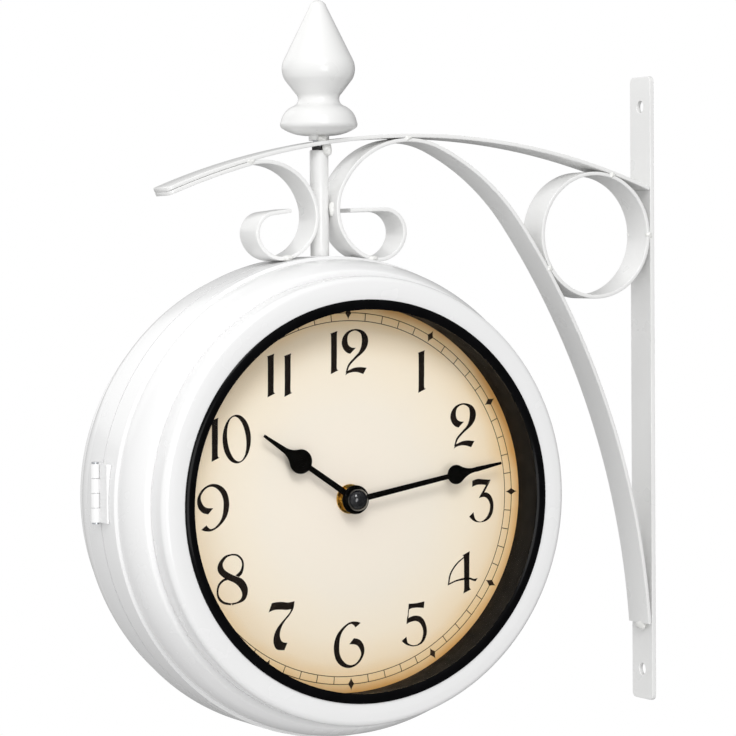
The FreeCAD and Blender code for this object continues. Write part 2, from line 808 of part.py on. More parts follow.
def build_clock_side(side, place):
    """Everything that one dial carries, in the order in which it is stacked."""
    build_bezel(side + "_bezel", place)
    build_rim(side + "_rim", place)
    build_disc(side + "_glass", place, TUBE_INNER + " - sizes.fit_gap", None,
               GLASS_BACK, "sizes.glass_thick")
    build_disc(side + "_sleeve", place, TUBE_INNER + " - sizes.fit_gap",
               TUBE_INNER + " - sizes.sleeve_wall", DIAL_FRONT,
               "sizes.dial_depth - sizes.glass_thick")
    build_disc(side + "_dial", place, "sizes.lip_radius - sizes.sheet_thick",
               "sizes.bushing_radius + sizes.thread_gap", DIAL_BACK, "sizes.dial_thick")
    build_clips(side + "_dial_clips", place)
    build_movement(side + "_movement", place)
    build_contacts(side + "_contacts", place)
    build_cell(side + "_battery", place)
    build_knob(side + "_setting_knob", place)
    build_disc(side + "_bushing", place, "sizes.bushing_radius",
               "sizes.hour_tube_radius + sizes.running_gap", SHAFT_BACK,
               "1.9 + sizes.dial_thick + sizes.bushing_reach")
    build_disc(side + "_washer", place, "sizes.washer_radius",
               "sizes.bushing_radius + sizes.thread_gap", DIAL_FRONT, "0.8")
    build_nut(side + "_nut", place)
    build_disc(side + "_hour_tube", place, "sizes.hour_tube_radius",
               "sizes.minute_shaft_radius + sizes.running_gap", SHAFT_BACK,
               "1.9 + sizes.dial_thick + sizes.hour_lift + sizes.hand_thick + 0.6")
    build_disc(side + "_minute_shaft", place, "sizes.minute_shaft_radius", None, SHAFT_BACK,
               "1.9 + sizes.dial_thick + sizes.minute_lift + sizes.hand_thick + 1.2")
    build_hand(side + "_hour_hand", place, HOUR_ANGLE, "sizes.hour_lift", size.hour_length,
               6.2, "sizes.hour_tube_radius + sizes.thread_gap", (3.1, 2.8), (35.7, 6.1),
               (size.hour_length - 12.8, 1.3))
    build_hand(side + "_minute_hand", place, MINUTE_ANGLE, "sizes.minute_lift",
               minute_length, 4.6, "sizes.minute_shaft_radius + sizes.thread_gap",
               (3.0, 2.5), (minute_length * 0.6814, 4.9), (minute_length * 0.8282, 1.3))
    build_cap(side + "_hand_cap", place)


# ------------------------------------------------------------------ hinge, catch and welds
hinge_x = -(size.rim_radius + size.knuckle_radius + size.fit_gap)
hinge_base = size.hinge_lift - size.hinge_height / 2
KNUCKLES = 4


def knuckle(name, number, radius, slack):
    """Cylinder on the pin's axis over one of the knuckles, longer by slack at both ends."""
    pitch = size.hinge_height / KNUCKLES
    base = hinge_base + number * pitch - slack
    item = doc.addObject("Part::Cylinder", name)
    item.Radius = radius
    item.Height = pitch + 2 * slack
    item.Placement = Placement(Vector(hinge_x, 0, base), Rotation())
    return item


def build_leaf(name, side, first):
    """Hinge leaf fitted to the rim, with every second knuckle. side is -1 in front, 1 behind."""
    inner_x = -(size.rim_radius - 4.0)
    near = size.seam_gap / 2
    y_low = near if side > 0 else -size.leaf_width
    plate = doc.addObject("Part::Box", name + "_plate")
    plate.setExpression("Width", "sizes.leaf_width - sizes.seam_gap / 2")
    plate.setExpression("Height", "sizes.hinge_height")
    plate.Length = inner_x + size.rim_radius + size.leaf_thick
    plate.Placement = Placement(Vector(-size.rim_radius - size.leaf_thick, y_low, hinge_base),
                                Rotation())
    rim = cross_cylinder(name + "_rim", Vector(0, 0, 0), size.rim_radius + size.fit_gap)
    fitted = boolean("Cut", name + "_fitted", plate, rim)
    own = range(first, KNUCKLES, 2)
    other = range(1 - first, KNUCKLES, 2)
    barrels = [knuckle(f"{name}_barrel_{number}", number, size.knuckle_radius, -0.1)
               for number in own]
    joined = fuse(name + "_joined", [fitted] + barrels)
    gaps = [knuckle(f"{name}_gap_{number}", number, size.knuckle_radius + size.case_clearance, 0.1)
            for number in other]
    bore_gap = size.running_gap if side > 0 else size.running_gap / 5
    bore = doc.addObject("Part::Cylinder", name + "_bore")
    bore.Radius = size.pin_radius + bore_gap
    bore.setExpression("Height", "sizes.hinge_height")
    bore.Placement = Placement(Vector(hinge_x, 0, hinge_base), Rotation())
    cleared = fuse(name + "_clearance", gaps + [bore])
    keep(name, boolean("Cut", name + "_piece", joined, cleared), at_case)


def build_hinge_pin():
    shank = doc.addObject("Part::Cylinder", "pin_shank")
    shank.setExpression("Radius", "sizes.pin_radius")
    shank.setExpression("Height", "sizes.hinge_height")
    heads = []
    for number, base in enumerate((-0.8, size.hinge_height)):
        head = doc.addObject("Part::Cylinder", f"pin_head_{number}")
        head.setExpression("Radius", "sizes.pin_radius * 1.5")
        head.Height = 0.8
        head.Placement = Placement(Vector(0, 0, base), Rotation())
        heads.append(head)
    keep("hinge_pin", fuse("pin_piece", [shank] + heads),
         at_case * Placement(Vector(hinge_x, 0, hinge_base), Rotation()))


def build_catch():
    """Magnet in the fixed half and its steel keeper on the door, inside the rim by the wall."""
    skin = size.rim_radius - size.sheet_thick
    depth = 12.0
    wall = 1.0
    magnet = doc.addObject("Part::Box", "magnet_block")
    magnet.Length = depth
    magnet.Width = 9.0
    magnet.setExpression("Height", "sizes.catch_height")
    magnet.Placement = Placement(Vector(skin - depth, -9.0 - size.seam_gap / 2,
                                        -size.catch_height / 2), Rotation())
    inside = cross_cylinder("magnet_fit", Vector(0, 0, 0), skin - size.fit_gap)
    keep("catch_magnet", boolean("Common", "magnet_piece", magnet, inside), at_case)
    face = doc.addObject("Part::Box", "keeper_face")
    face.Length = depth
    face.Width = wall
    face.setExpression("Height", "sizes.catch_height")
    face.Placement = Placement(Vector(skin - depth, 0, -size.catch_height / 2), Rotation())
    leg = doc.addObject("Part::Box", "keeper_leg")
    leg.Length = depth
    leg.Width = 10.0
    leg.setExpression("Height", "sizes.catch_height")
    leg.Placement = face.Placement
    hollow = cross_cylinder("keeper_hollow", Vector(0, 0, 0), skin - size.fit_gap - wall)
    bent = boolean("Cut", "keeper_bent", leg, hollow)
    joined = fuse("keeper_joined", [face, bent])
    outside = cross_cylinder("keeper_fit", Vector(0, 0, 0), skin - size.fit_gap)
    keep("catch_keeper", boolean("Common", "keeper_piece", joined, outside), at_case)


def contact(centre, towards, radius):
    """Point at which a strip of that outer radius, bent about centre, meets its neighbour."""
    return centre + (towards - centre).normalize() * radius


def trim(piece, neighbours):
    """Cut the neighbouring pieces out of a bead."""
    for order, neighbour in enumerate(neighbours):
        piece = boolean("Cut", f"{piece.Name}_trim_{order}", piece, neighbour)
    return piece


def build_welds():
    """Weld beads where the strips touch, each trimmed to the pieces that it joins."""
    centre = Vector(0, 0, 0)
    arm_point = contact(upper_centres[3], upper_centres[3] * 2 - arm_centre, top_radius)
    ring_arm = contact(ring_centre, ring_centre * 2 - arm_centre, ring_radius)
    ring_brace = contact(ring_centre, brace_centre, ring_radius)
    ring_bar = ring_centre + Vector(ring_radius, 0, 0)
    left_case = contact(left_centres[2], centre, LEFT_LEGS[2][0])
    right_case = contact(curl_centres[1], centre, CURL_LEGS[1][0])
    post_left = Vector(-touch, left_centres[1].y, 0)
    post_right = Vector(touch, curl_centres[2].y, 0)
    arm, left, brace = parts["top_arm"], parts["left_scroll"], parts["brace_scroll"]
    bar, post = parts["wall_bar"], parts["post"]
    rim = cross_cylinder("bead_rim", centre, size.rim_radius)
    rim.Placement = at_case * rim.Placement
    strips = doc.addObject("Part::Box", "bead_strips")
    strips.Length = reach * 2.2
    strips.setExpression("Width", "sizes.strip_width + sizes.running_gap")
    strips.Height = reach * 2
    strips.Placement = at_case * Placement(Vector(-reach, -size.strip_width / 2, -reach / 2),
                                           Rotation())
    edge = size.strip_width / 2 - 0.8
    beside = size.post_radius
    spots = [(point, side * edge, [strips]) for side in (-1, 1)
             for point in (left_start, arm_point, ring_arm, ring_brace, ring_bar)]
    spots += [(left_case, -edge, [strips, rim]), (right_case, -edge, [strips, rim]),
              (post_left, -beside, [left, post]), (post_right, -beside, [brace, post]),
              (Vector(0.8, arm_under - 1.4, 0), -beside - 0.9, [arm, post])]
    askew = Rotation(Vector(1, 2, 3), 35)
    seams = [(Vector(reach, arm_end, 0), [bar, arm]), (foot, [bar, brace])]
    beads = []
    for point, depth, neighbours in spots:
        drop = primitive("Sphere", f"bead_{len(beads)}",
                         at_case * Placement(Vector(point.x, depth, point.y), askew),
                         Radius="sizes.bead_radius")
        beads.append(trim(drop, neighbours))
    for point, neighbours in seams:
        middle = Vector(point.x, size.strip_width * 0.4, point.y)
        run = primitive("Cylinder", f"bead_{len(beads)}", at_case * Placement(middle, about_y),
                        Radius="sizes.bead_radius", Height="sizes.strip_width * 0.8")
        beads.append(trim(run, neighbours))
    row_of_beads = doc.addObject("Part::Compound", "bead_piece")
    row_of_beads.Links = beads
    keep("weld_beads", row_of_beads, Placement())


build_wall_bar()
build_top_arm()
build_left_scroll()
build_brace_scroll()
build_bracket_ring()
build_post()
build_finial()
build_finial_stud()
build_case_half("case_front_shell", at_case)
at_rear = at_case * Placement(Vector(), Rotation(Vector(0, 0, 1), 180))
build_case_half("case_rear_door", at_rear)
build_clock_side("front", at_case)
build_clock_side("rear", at_rear)
build_leaf("hinge_leaf_fixed", -1, 0)
build_leaf("hinge_leaf_door", 1, 1)
build_hinge_pin()
build_catch()
doc.recompute()
build_welds()
doc.recompute()

failed = [item.Name for item in doc.Objects if {"Invalid", "Error"} & set(item.State)]
if failed:
    raise RuntimeError(f"objects that did not build: {failed}")
for name, piece in parts.items():
    if piece.Shape.isNull() or not piece.Shape.isValid() or not piece.Shape.Solids:
        raise RuntimeError(f"{name} has no valid solid")

os.makedirs("parts", exist_ok=True)
for name, piece in parts.items():
    piece.Shape.exportStep(f"parts/{name}.step")
print(f"{len(parts)} parts, ring of radius {ring_radius:.2f} mm, brace of radius {brace_radius:.1f} mm")
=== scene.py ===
"""Looks of a double sided wall clock on a scrolled bracket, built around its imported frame.

All work is in metres in the frame of the clock: the origin on the back of the wall bar, +X into
the wall, +Z up and -Y the side of the front dial. The case has its own centre, CASE_CENTRE. A
depth is counted from the mid-plane of the case towards the dial that a piece belongs to.
"""

import json
import logging
import math
from collections.abc import Sequence
from dataclasses import dataclass, field
from enum import Enum

import bmesh
import bpy
import numpy as np
from mathutils import Matrix, Vector


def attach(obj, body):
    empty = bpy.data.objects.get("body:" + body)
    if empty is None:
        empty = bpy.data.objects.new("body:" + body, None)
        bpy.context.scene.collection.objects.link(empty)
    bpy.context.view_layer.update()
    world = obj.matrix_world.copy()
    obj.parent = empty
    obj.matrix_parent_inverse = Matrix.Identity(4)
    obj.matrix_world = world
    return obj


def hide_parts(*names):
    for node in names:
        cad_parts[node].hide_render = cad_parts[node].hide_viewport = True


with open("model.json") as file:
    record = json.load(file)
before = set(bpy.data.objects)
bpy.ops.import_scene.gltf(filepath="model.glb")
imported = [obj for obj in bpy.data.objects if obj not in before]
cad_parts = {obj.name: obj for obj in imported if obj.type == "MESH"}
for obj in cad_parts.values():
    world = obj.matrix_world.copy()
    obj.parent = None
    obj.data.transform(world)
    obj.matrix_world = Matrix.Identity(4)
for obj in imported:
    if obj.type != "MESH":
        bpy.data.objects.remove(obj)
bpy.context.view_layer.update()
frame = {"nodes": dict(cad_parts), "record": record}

log = logging.getLogger("wall_clock")
MM = 0.001
CASE_CENTRE = np.array([-0.195, 0.0, -0.0493269])


class Side(Enum):
    """The two dials of the clock, and the sign of Y on which each lies."""

    FRONT = -1
    REAR = 1

    @property
    def word(self) -> str:
        """Prefix of the names of this side's pieces."""
        return self.name.lower()

    @property
    def carrier(self) -> str:
        """Body that carries this side's fixed pieces."""
        return "bracket" if self is Side.FRONT else "door"


def on_side(across: np.ndarray, depth: np.ndarray, up: np.ndarray, side: Side) -> np.ndarray:
    """Place points given as a reader of the dial sees them.

    Args:
        across: distance to the reader's right of the case centre, in mm.
        depth: distance from the mid-plane towards the reader, in mm.
        up: height above the case centre, in mm.
        side: dial that the reader looks at.

    Returns:
        Points in the clock's frame, in metres.
    """
    sign = side.value
    across, depth, up = np.broadcast_arrays(across, depth, up)
    return np.stack([-sign * across, sign * depth, up], axis=-1) * MM + CASE_CENTRE


# ------------------------------------------------------------------ meshes from grids
def hex_linear(code: str) -> tuple[float, float, float, float]:
    """Turn an sRGB hex colour into a linear one with full alpha."""
    values = [int(code[i:i + 2], 16) / 255 for i in (1, 3, 5)]
    linear = [v / 12.92 if v <= 0.04045 else ((v + 0.055) / 1.055) ** 2.4 for v in values]
    return (*linear, 1.0)


def grid_faces(rows: int, columns: int, wrap_rows: bool, wrap_columns: bool) -> np.ndarray:
    """Quads of a grid of points: each joins a point to its neighbours along both parameters."""
    across = rows if wrap_rows else rows - 1
    along = columns if wrap_columns else columns - 1
    i, j = np.meshgrid(np.arange(across), np.arange(along), indexing="ij")
    next_i, next_j = (i + 1) % rows, (j + 1) % columns
    corners = [i * columns + j, next_i * columns + j, next_i * columns + next_j,
               i * columns + next_j]
    return np.stack(corners, axis=-1).reshape(-1, 4)


def link(mesh: bpy.types.Mesh) -> bpy.types.Object:
    """Put a mesh into the scene as an object of the same name at the origin."""
    piece = bpy.data.objects.new(mesh.name, mesh)
    bpy.context.scene.collection.objects.link(piece)
    return piece


def make_mesh(name: str, points: np.ndarray, faces: Sequence, smooth: float | None = 35.0,
              closed: bool = True) -> bpy.types.Object:
    """Make an object from points and faces.

    Args:
        name: name of the piece.
        points: array of points, in metres.
        faces: index lists of the faces.
        smooth: edges sharper than this angle in degrees stay sharp; None leaves flat faces.
        closed: merge doubles and turn the faces outwards.

    Returns:
        The new object.
    """
    mesh = bpy.data.meshes.new(name)
    lists = faces.tolist() if isinstance(faces, np.ndarray) else faces
    mesh.from_pydata(points.reshape(-1, 3), [], lists)
    if closed:
        tidy(mesh, 1e-6)
    if smooth is not None:
        soften(mesh, smooth)
    return link(mesh)


def tidy(mesh: bpy.types.Mesh, distance: float) -> None:
    """Merge doubles, drop collapsed faces and turn all faces outwards."""
    work = bmesh.new()
    work.from_mesh(mesh)
    bmesh.ops.remove_doubles(work, verts=work.verts, dist=distance)
    bmesh.ops.dissolve_degenerate(work, dist=distance, edges=work.edges)
    bmesh.ops.recalc_face_normals(work, faces=work.faces)
    work.to_mesh(mesh)
    work.free()


def soften(mesh: bpy.types.Mesh, angle: float) -> None:
    """Shade a mesh smooth except across edges sharper than the angle, in degrees."""
    work = bmesh.new()
    work.from_mesh(mesh)
    limit = math.radians(angle)
    for edge in work.edges:
        edge.smooth = len(edge.link_faces) == 2 and edge.calc_face_angle(0.0) < limit
    for face in work.faces:
        face.smooth = True
    work.to_mesh(mesh)
    work.free()


def arc_points(start: Sequence[float], middle: Sequence[float], end: Sequence[float],
               count: int) -> np.ndarray:
    """Points on the circle through three points, at even angles from start to end."""
    a, b, c = (np.asarray(p, float) for p in (start, middle, end))
    rows = 2 * np.array([b - a, c - a])
    centre = np.linalg.solve(rows, np.array([b @ b - a @ a, c @ c - a @ a]))
    angles = [math.atan2(*(p - centre)[::-1]) for p in (a, b, c)]
    span = (angles[2] - angles[0]) % (2 * math.pi)
    passing = (angles[1] - angles[0]) % (2 * math.pi)
    if passing > span:
        span -= 2 * math.pi
    turn = angles[0] + np.linspace(0, span, count)
    radius = np.linalg.norm(a - centre)
    return centre + radius * np.stack([np.cos(turn), np.sin(turn)], axis=-1)


def rounded(corners: Sequence[tuple[float, float, float]], count: int = 6,
            closed: bool = True) -> np.ndarray:
    """Round the corners of a polygon.

    Each corner is replaced by points of the arc that touches both of its edges.

    Args:
        corners: x, y and rounding radius of each corner.
        count: points on each arc.
        closed: whether the last corner joins the first.

    Returns:
        Array of points.
    """
    places = np.array([c[:2] for c in corners], float)
    found = []
    for i, (here, corner) in enumerate(zip(places, corners)):
        ends = not closed and i in (0, len(places) - 1)
        if corner[2] <= 0 or ends:
            found.append(here[None])
            continue
        before = places[i - 1] - here
        after = places[(i + 1) % len(places)] - here
        reach = (np.linalg.norm(before), np.linalg.norm(after))
        before, after = before / reach[0], after / reach[1]
        half = math.acos(np.clip(before @ after, -1, 1)) / 2
        back = min(corner[2] / math.tan(half), 0.49 * min(reach))
        radius = back * math.tan(half)
        inward = (before + after) / np.linalg.norm(before + after)
        centre = here + inward * radius / math.sin(half)
        middle = centre - inward * radius
        found.append(arc_points(here + before * back, middle, here + after * back, count))
    return np.concatenate(found)


def turned(name: str, outline: np.ndarray, side: Side, steps: int = 192, smooth: float = 35.0
           ) -> bpy.types.Object:
    """Body of revolution about the axis of the case, from a profile that closes on itself.

    The point at turn t of a profile point (radius r, depth u) lies r sin t across and r cos t up.

    Args:
        name: name of the piece.
        outline: profile points as radius and depth, in mm.
        side: dial side that the depth belongs to.
        steps: number of segments round the axis.
        smooth: sharp edge angle, in degrees.

    Returns:
        The new object.
    """
    turn = np.linspace(0, 2 * math.pi, steps, endpoint=False)[:, None]
    radius, depth = outline[None, :, 0], outline[None, :, 1]
    points = on_side(radius * np.sin(turn), depth, radius * np.cos(turn), side)
    return make_mesh(name, points, grid_faces(steps, len(outline), True, True), smooth)


def copied(node: str, name: str, bevel: float = 0.0, smooth: float = 30.0,
           carrier: str | None = None) -> bpy.types.Object:
    """Finished copy of a frame node, with merged points, soft shading and broken edges.

    Args:
        node: name of the frame node that the copy stands for.
        name: name of the copy.
        bevel: width of the broken edges, in mm.
        smooth: sharp edge angle, in degrees.
        carrier: body that it rides on, or None for the node's own body.

    Returns:
        The new object, riding on its body.
    """
    mesh = frame["nodes"][node].data.copy()
    mesh.name = name
    mesh.materials.clear()
    work = bmesh.new()
    work.from_mesh(mesh)
    bmesh.ops.remove_doubles(work, verts=work.verts, dist=2e-6)
    bmesh.ops.dissolve_limit(work, angle_limit=math.radians(0.6), verts=work.verts,
                             edges=work.edges)
    work.to_mesh(mesh)
    work.free()
    soften(mesh, smooth)
    piece = link(mesh)
    if bevel:
        edge = piece.modifiers.new("broken edges", "BEVEL")
        edge.width = bevel * MM
        edge.segments = 2
        edge.limit_method = "ANGLE"
        edge.angle_limit = math.radians(35)
        edge.harden_normals = True
    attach(piece, carrier or body_of_node(node))
    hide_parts(node)
    return piece


def body_of_node(node: str) -> str:
    """Name of the body that carries a frame node."""
    groups = frame["record"]["behaviour"]["bodies"]
    return next(body for body, members in groups.items() if node in members)


# ------------------------------------------------------------------ finishes
class Nodes:
    """Small builder for one material's node tree."""

    def __init__(self, name: str) -> None:
        """Start a material that holds only its surface shader and output."""
        self.material = bpy.data.materials.new(name)
        self.material.use_nodes = True
        self.tree = self.material.node_tree
        self.shader = self.tree.nodes["Principled BSDF"]
        self.output = self.tree.nodes["Material Output"]

    def add(self, kind: str, settings: dict | None = None, **inputs: object) -> bpy.types.Node:
        """Add a node.

        Args:
            kind: node type, without the word ShaderNode.
            settings: properties to set on the node.
            inputs: socket name, with _ for a space, and a value or an output socket.

        Returns:
            The new node.
        """
        node = self.tree.nodes.new("ShaderNode" + kind)
        for key, value in (settings or {}).items():
            setattr(node, key, value)
        for key, value in inputs.items():
            self.feed(node, key.replace("_", " "), value)
        return node

    def feed(self, node: bpy.types.Node, key: str | int, value: object) -> None:
        """Link a socket into an input, or set the input's value."""
        socket = node.inputs[int(key)] if str(key).isdigit() else node.inputs[key]
        if isinstance(value, bpy.types.NodeSocket):
            self.tree.links.new(value, socket)
        else:
            socket.default_value = value

    def place(self, centre: Sequence[float] = (0, 0, 0)) -> bpy.types.NodeSocket:
        """Object coordinates about a centre, in metres."""
        coordinates = self.add("TexCoord").outputs["Object"]
        mapping = self.add("Mapping", {"vector_type": "TEXTURE"}, Vector=coordinates)
        mapping.inputs["Location"].default_value = centre
        return mapping.outputs["Vector"]

    def noise(self, size_mm: float, detail: float = 3.0, rough: float = 0.5,
              at: bpy.types.NodeSocket | None = None) -> bpy.types.NodeSocket:
        """Noise whose lumps are about the given size."""
        node = self.add("TexNoise", None, Vector=at or self.place(), Scale=0.6 / (size_mm * MM),
                        Detail=detail, Roughness=rough)
        return node.outputs["Fac"]

    def ramp(self, value: bpy.types.NodeSocket, stops: Sequence[tuple[float, str]]
             ) -> bpy.types.NodeSocket:
        """Colour ramp with hex colours at its stops."""
        node = self.add("ValToRGB", None, Fac=value)
        row = node.color_ramp.elements
        while len(row) < len(stops):
            row.new(0.5)
        for element, (where, colour) in zip(row, stops):
            element.position = where
            element.color = hex_linear(colour)
        return node.outputs["Color"]

    def span(self, value: bpy.types.NodeSocket, low: float, high: float,
             from_low: float = 0.0, from_high: float = 1.0) -> bpy.types.NodeSocket:
        """Map a value from one range to another."""
        node = self.add("MapRange", None, Value=value, From_Min=from_low, From_Max=from_high,
                        To_Min=low, To_Max=high)
        return node.outputs["Result"]

    def bump(self, height: bpy.types.NodeSocket, depth_mm: float,
             under: bpy.types.NodeSocket | None = None) -> bpy.types.NodeSocket:
        """Bump of the given depth, laid over an earlier one."""
        node = self.add("Bump", None, Height=height, Distance=depth_mm * MM, Strength=1.0)
        if under is not None:
            self.feed(node, "Normal", under)
        return node.outputs["Normal"]

    def surface(self, **inputs: object) -> bpy.types.Material:
        """Set the shader's inputs and hand back the material."""
        for key, value in inputs.items():
            self.feed(self.shader, key.replace("_", " "), value)
        return self.material


@dataclass(frozen=True)
class StovedPaint:
    """White enamel sprayed on steel and stoved.

    It gives broad soft highlights, a faint orange peel and slightly dull patches.
    """

    name: str = "stoved white enamel"
    light: str = "#F1F1F1"
    dull: str = "#EDEDED"
    peel_mm: float = 1.8
    peel_depth: float = 0.003
    wave_mm: float = 40.0
    wave_depth: float = 0.05
    gloss: float = 0.26

    def make(self) -> bpy.types.Material:
        """Build the material."""
        tree = Nodes(self.name)
        patches = tree.noise(60.0, 2.0, 0.5)
        colour = tree.ramp(patches, [(0.25, self.dull), (0.70, self.light)])
        rough = tree.span(tree.noise(14.0, 3.0, 0.5), self.gloss - 0.01, self.gloss + 0.02,
                          0.3, 0.7)
        wave = tree.bump(tree.noise(self.wave_mm, 1.0, 0.3), self.wave_depth)
        peel = tree.bump(tree.noise(self.peel_mm, 2.0, 0.4), self.peel_depth, wave)
        return tree.surface(Base_Color=colour, Roughness=rough, Normal=peel, IOR=1.5,
                            Coat_Weight=0.25, Coat_Roughness=0.08)


@dataclass(frozen=True)
class MouldedPlastic:
    """Injection moulded plastic: an even colour with a fine grain and a soft sheen."""

    name: str
    light: str
    dark: str
    rough: float
    grain_mm: float = 0.7
    grain_depth: float = 0.01
    shine: float = 0.5

    def make(self) -> bpy.types.Material:
        """Build the material."""
        tree = Nodes(self.name)
        colour = tree.ramp(tree.noise(12.0, 4.0), [(0.35, self.dark), (0.65, self.light)])
        rough = tree.span(tree.noise(4.0, 4.0), self.rough * 0.85, self.rough * 1.2, 0.3, 0.7)
        grain = tree.bump(tree.noise(self.grain_mm, 2.0), self.grain_depth)
        return tree.surface(Base_Color=colour, Roughness=rough, Normal=grain, IOR=1.5,
                            Specular_IOR_Level=self.shine)


@dataclass(frozen=True)
class PlainMetal:
    """Bare or plated metal with drawn lines along one direction and dull clouds."""

    name: str
    light: str
    dark: str
    rough: float
    stretch: tuple[float, float, float] = (1.0, 1.0, 14.0)

    def make(self) -> bpy.types.Material:
        """Build the material."""
        tree = Nodes(self.name)
        cloud = tree.ramp(tree.noise(6.0, 4.0, 0.6), [(0.32, self.dark), (0.68, self.light)])
        coordinates = tree.place()
        lines = tree.add("Mapping", None, Vector=coordinates)
        lines.inputs["Scale"].default_value = self.stretch
        fine = tree.noise(2.0, 3.0, 0.6, lines.outputs["Vector"])
        rough = tree.span(fine, self.rough * 0.8, self.rough * 1.35, 0.3, 0.7)
        scratch = tree.bump(fine, 0.006)
        return tree.surface(Base_Color=cloud, Roughness=rough, Normal=scratch, Metallic=1.0)


@dataclass(frozen=True)
class BlackLacquer:
    """Black lacquer on thin metal: deep colour, soft highlight and a trace of peel."""

    name: str
    light: str = "#1B1A1B"
    dark: str = "#0C0B0C"
    rough: float = 0.3
    coat: float = 0.4
    shine: float = 0.06

    def make(self) -> bpy.types.Material:
        """Build the material."""
        tree = Nodes(self.name)
        colour = tree.ramp(tree.noise(5.0, 4.0), [(0.35, self.dark), (0.7, self.light)])
        rough = tree.span(tree.noise(2.5, 4.0), self.rough * 0.8, self.rough * 1.25, 0.3, 0.7)
        peel = tree.bump(tree.noise(1.4, 2.0), 0.008)
        return tree.surface(Base_Color=colour, Roughness=rough, Normal=peel, IOR=1.5,
                            Specular_IOR_Level=self.shine, Coat_Weight=self.coat,
                            Coat_Roughness=0.06)


@dataclass(frozen=True)
class PrintedDial:
    """Printed sheet dial: a pale cream middle that browns to amber at the edge, plain behind. Before the
    amber sets in, the cream turns lighter than the middle: painted light that makes up for the shade of the
    rim and sleeve on the outer dial.
    """

    name: str
    centre: tuple[float, float, float]
    edge_mm: float = 99.0
    mid_sheet_mm: float = 30.9
    back: str = "#D9D9D6"

    def make(self) -> bpy.types.Material:
        """Build the material."""
        tree = Nodes(self.name)
        place = tree.place(self.centre)
        flat = tree.add("VectorMath", {"operation": "MULTIPLY"},
                        **{"0": place, "1": (1.0, 0.0, 1.0)})
        distance = tree.add("VectorMath", {"operation": "LENGTH"}, **{"0": flat.outputs["Vector"]})
        cloud = tree.noise(30.0, 3.0, 0.5, place)
        drift = tree.span(cloud, -3.5 * MM, 3.5 * MM, 0.3, 0.7)
        reach = tree.add("Math", {"operation": "ADD"},
                         **{"0": distance.outputs["Value"], "1": drift})
        share = tree.span(reach.outputs["Value"], 0.0, 1.0, 0.0, self.edge_mm * MM)
        # The amber at the rim is print. The cream lighter than the middle, at about 0.70 to 0.84 of the
        # radius, is painted light against the shade of the rim and sleeve.
        colour = tree.ramp(share, [(0.0, "#F6ECDE"), (0.45, "#F7EEDE"), (0.70, "#FDF0D9"),
                                   (0.84, "#FFEBCB"), (0.93, "#FBD9A4"), (0.985, "#EEB469")])
        axes = tree.add("SeparateXYZ", None, Vector=place)
        depth = tree.add("Math", {"operation": "ABSOLUTE"}, **{"0": axes.outputs["Y"]})
        front = tree.add("Math", {"operation": "GREATER_THAN"},
                         **{"0": depth.outputs["Value"], "1": self.mid_sheet_mm * MM})
        printed = tree.add("MixRGB", None, Fac=front.outputs["Value"], Color1=hex_linear(self.back),
                           Color2=colour)
        paper = tree.bump(tree.noise(0.9, 3.0, 0.6, place), 0.004)
        return tree.surface(Base_Color=printed.outputs["Color"], Roughness=0.48, Normal=paper,
                            IOR=1.45)


@dataclass(frozen=True)
class ClearGlass:
    """Flat clear glass: shows what lies behind it and takes a faint reflection.

    Its index lies far below that of real glass, 1.52, whose reflection of the soft surroundings
    would veil the dial. Shadow and diffuse rays pass straight through, so that light reaches it.
    """

    name: str = "clear float glass"
    index: float = 1.08

    def make(self) -> bpy.types.Material:
        """Build the material."""
        tree = Nodes(self.name)
        waves = tree.bump(tree.noise(60.0, 1.0), 0.02)
        tree.surface(Base_Color=(1, 1, 1, 1), Roughness=0.02, Normal=waves, IOR=self.index,
                     Transmission_Weight=1.0)
        path = tree.add("LightPath")
        through = tree.add("BsdfTransparent")
        either = tree.add("Math", {"operation": "MAXIMUM"},
                          **{"0": path.outputs["Is Shadow Ray"],
                             "1": path.outputs["Is Diffuse Ray"]})
        mix = tree.add("MixShader", None, Fac=either.outputs["Value"],
                       **{"1": tree.shader.outputs["BSDF"], "2": through.outputs["BSDF"]})
        tree.feed(tree.output, "Surface", mix.outputs["Shader"])
        return tree.material


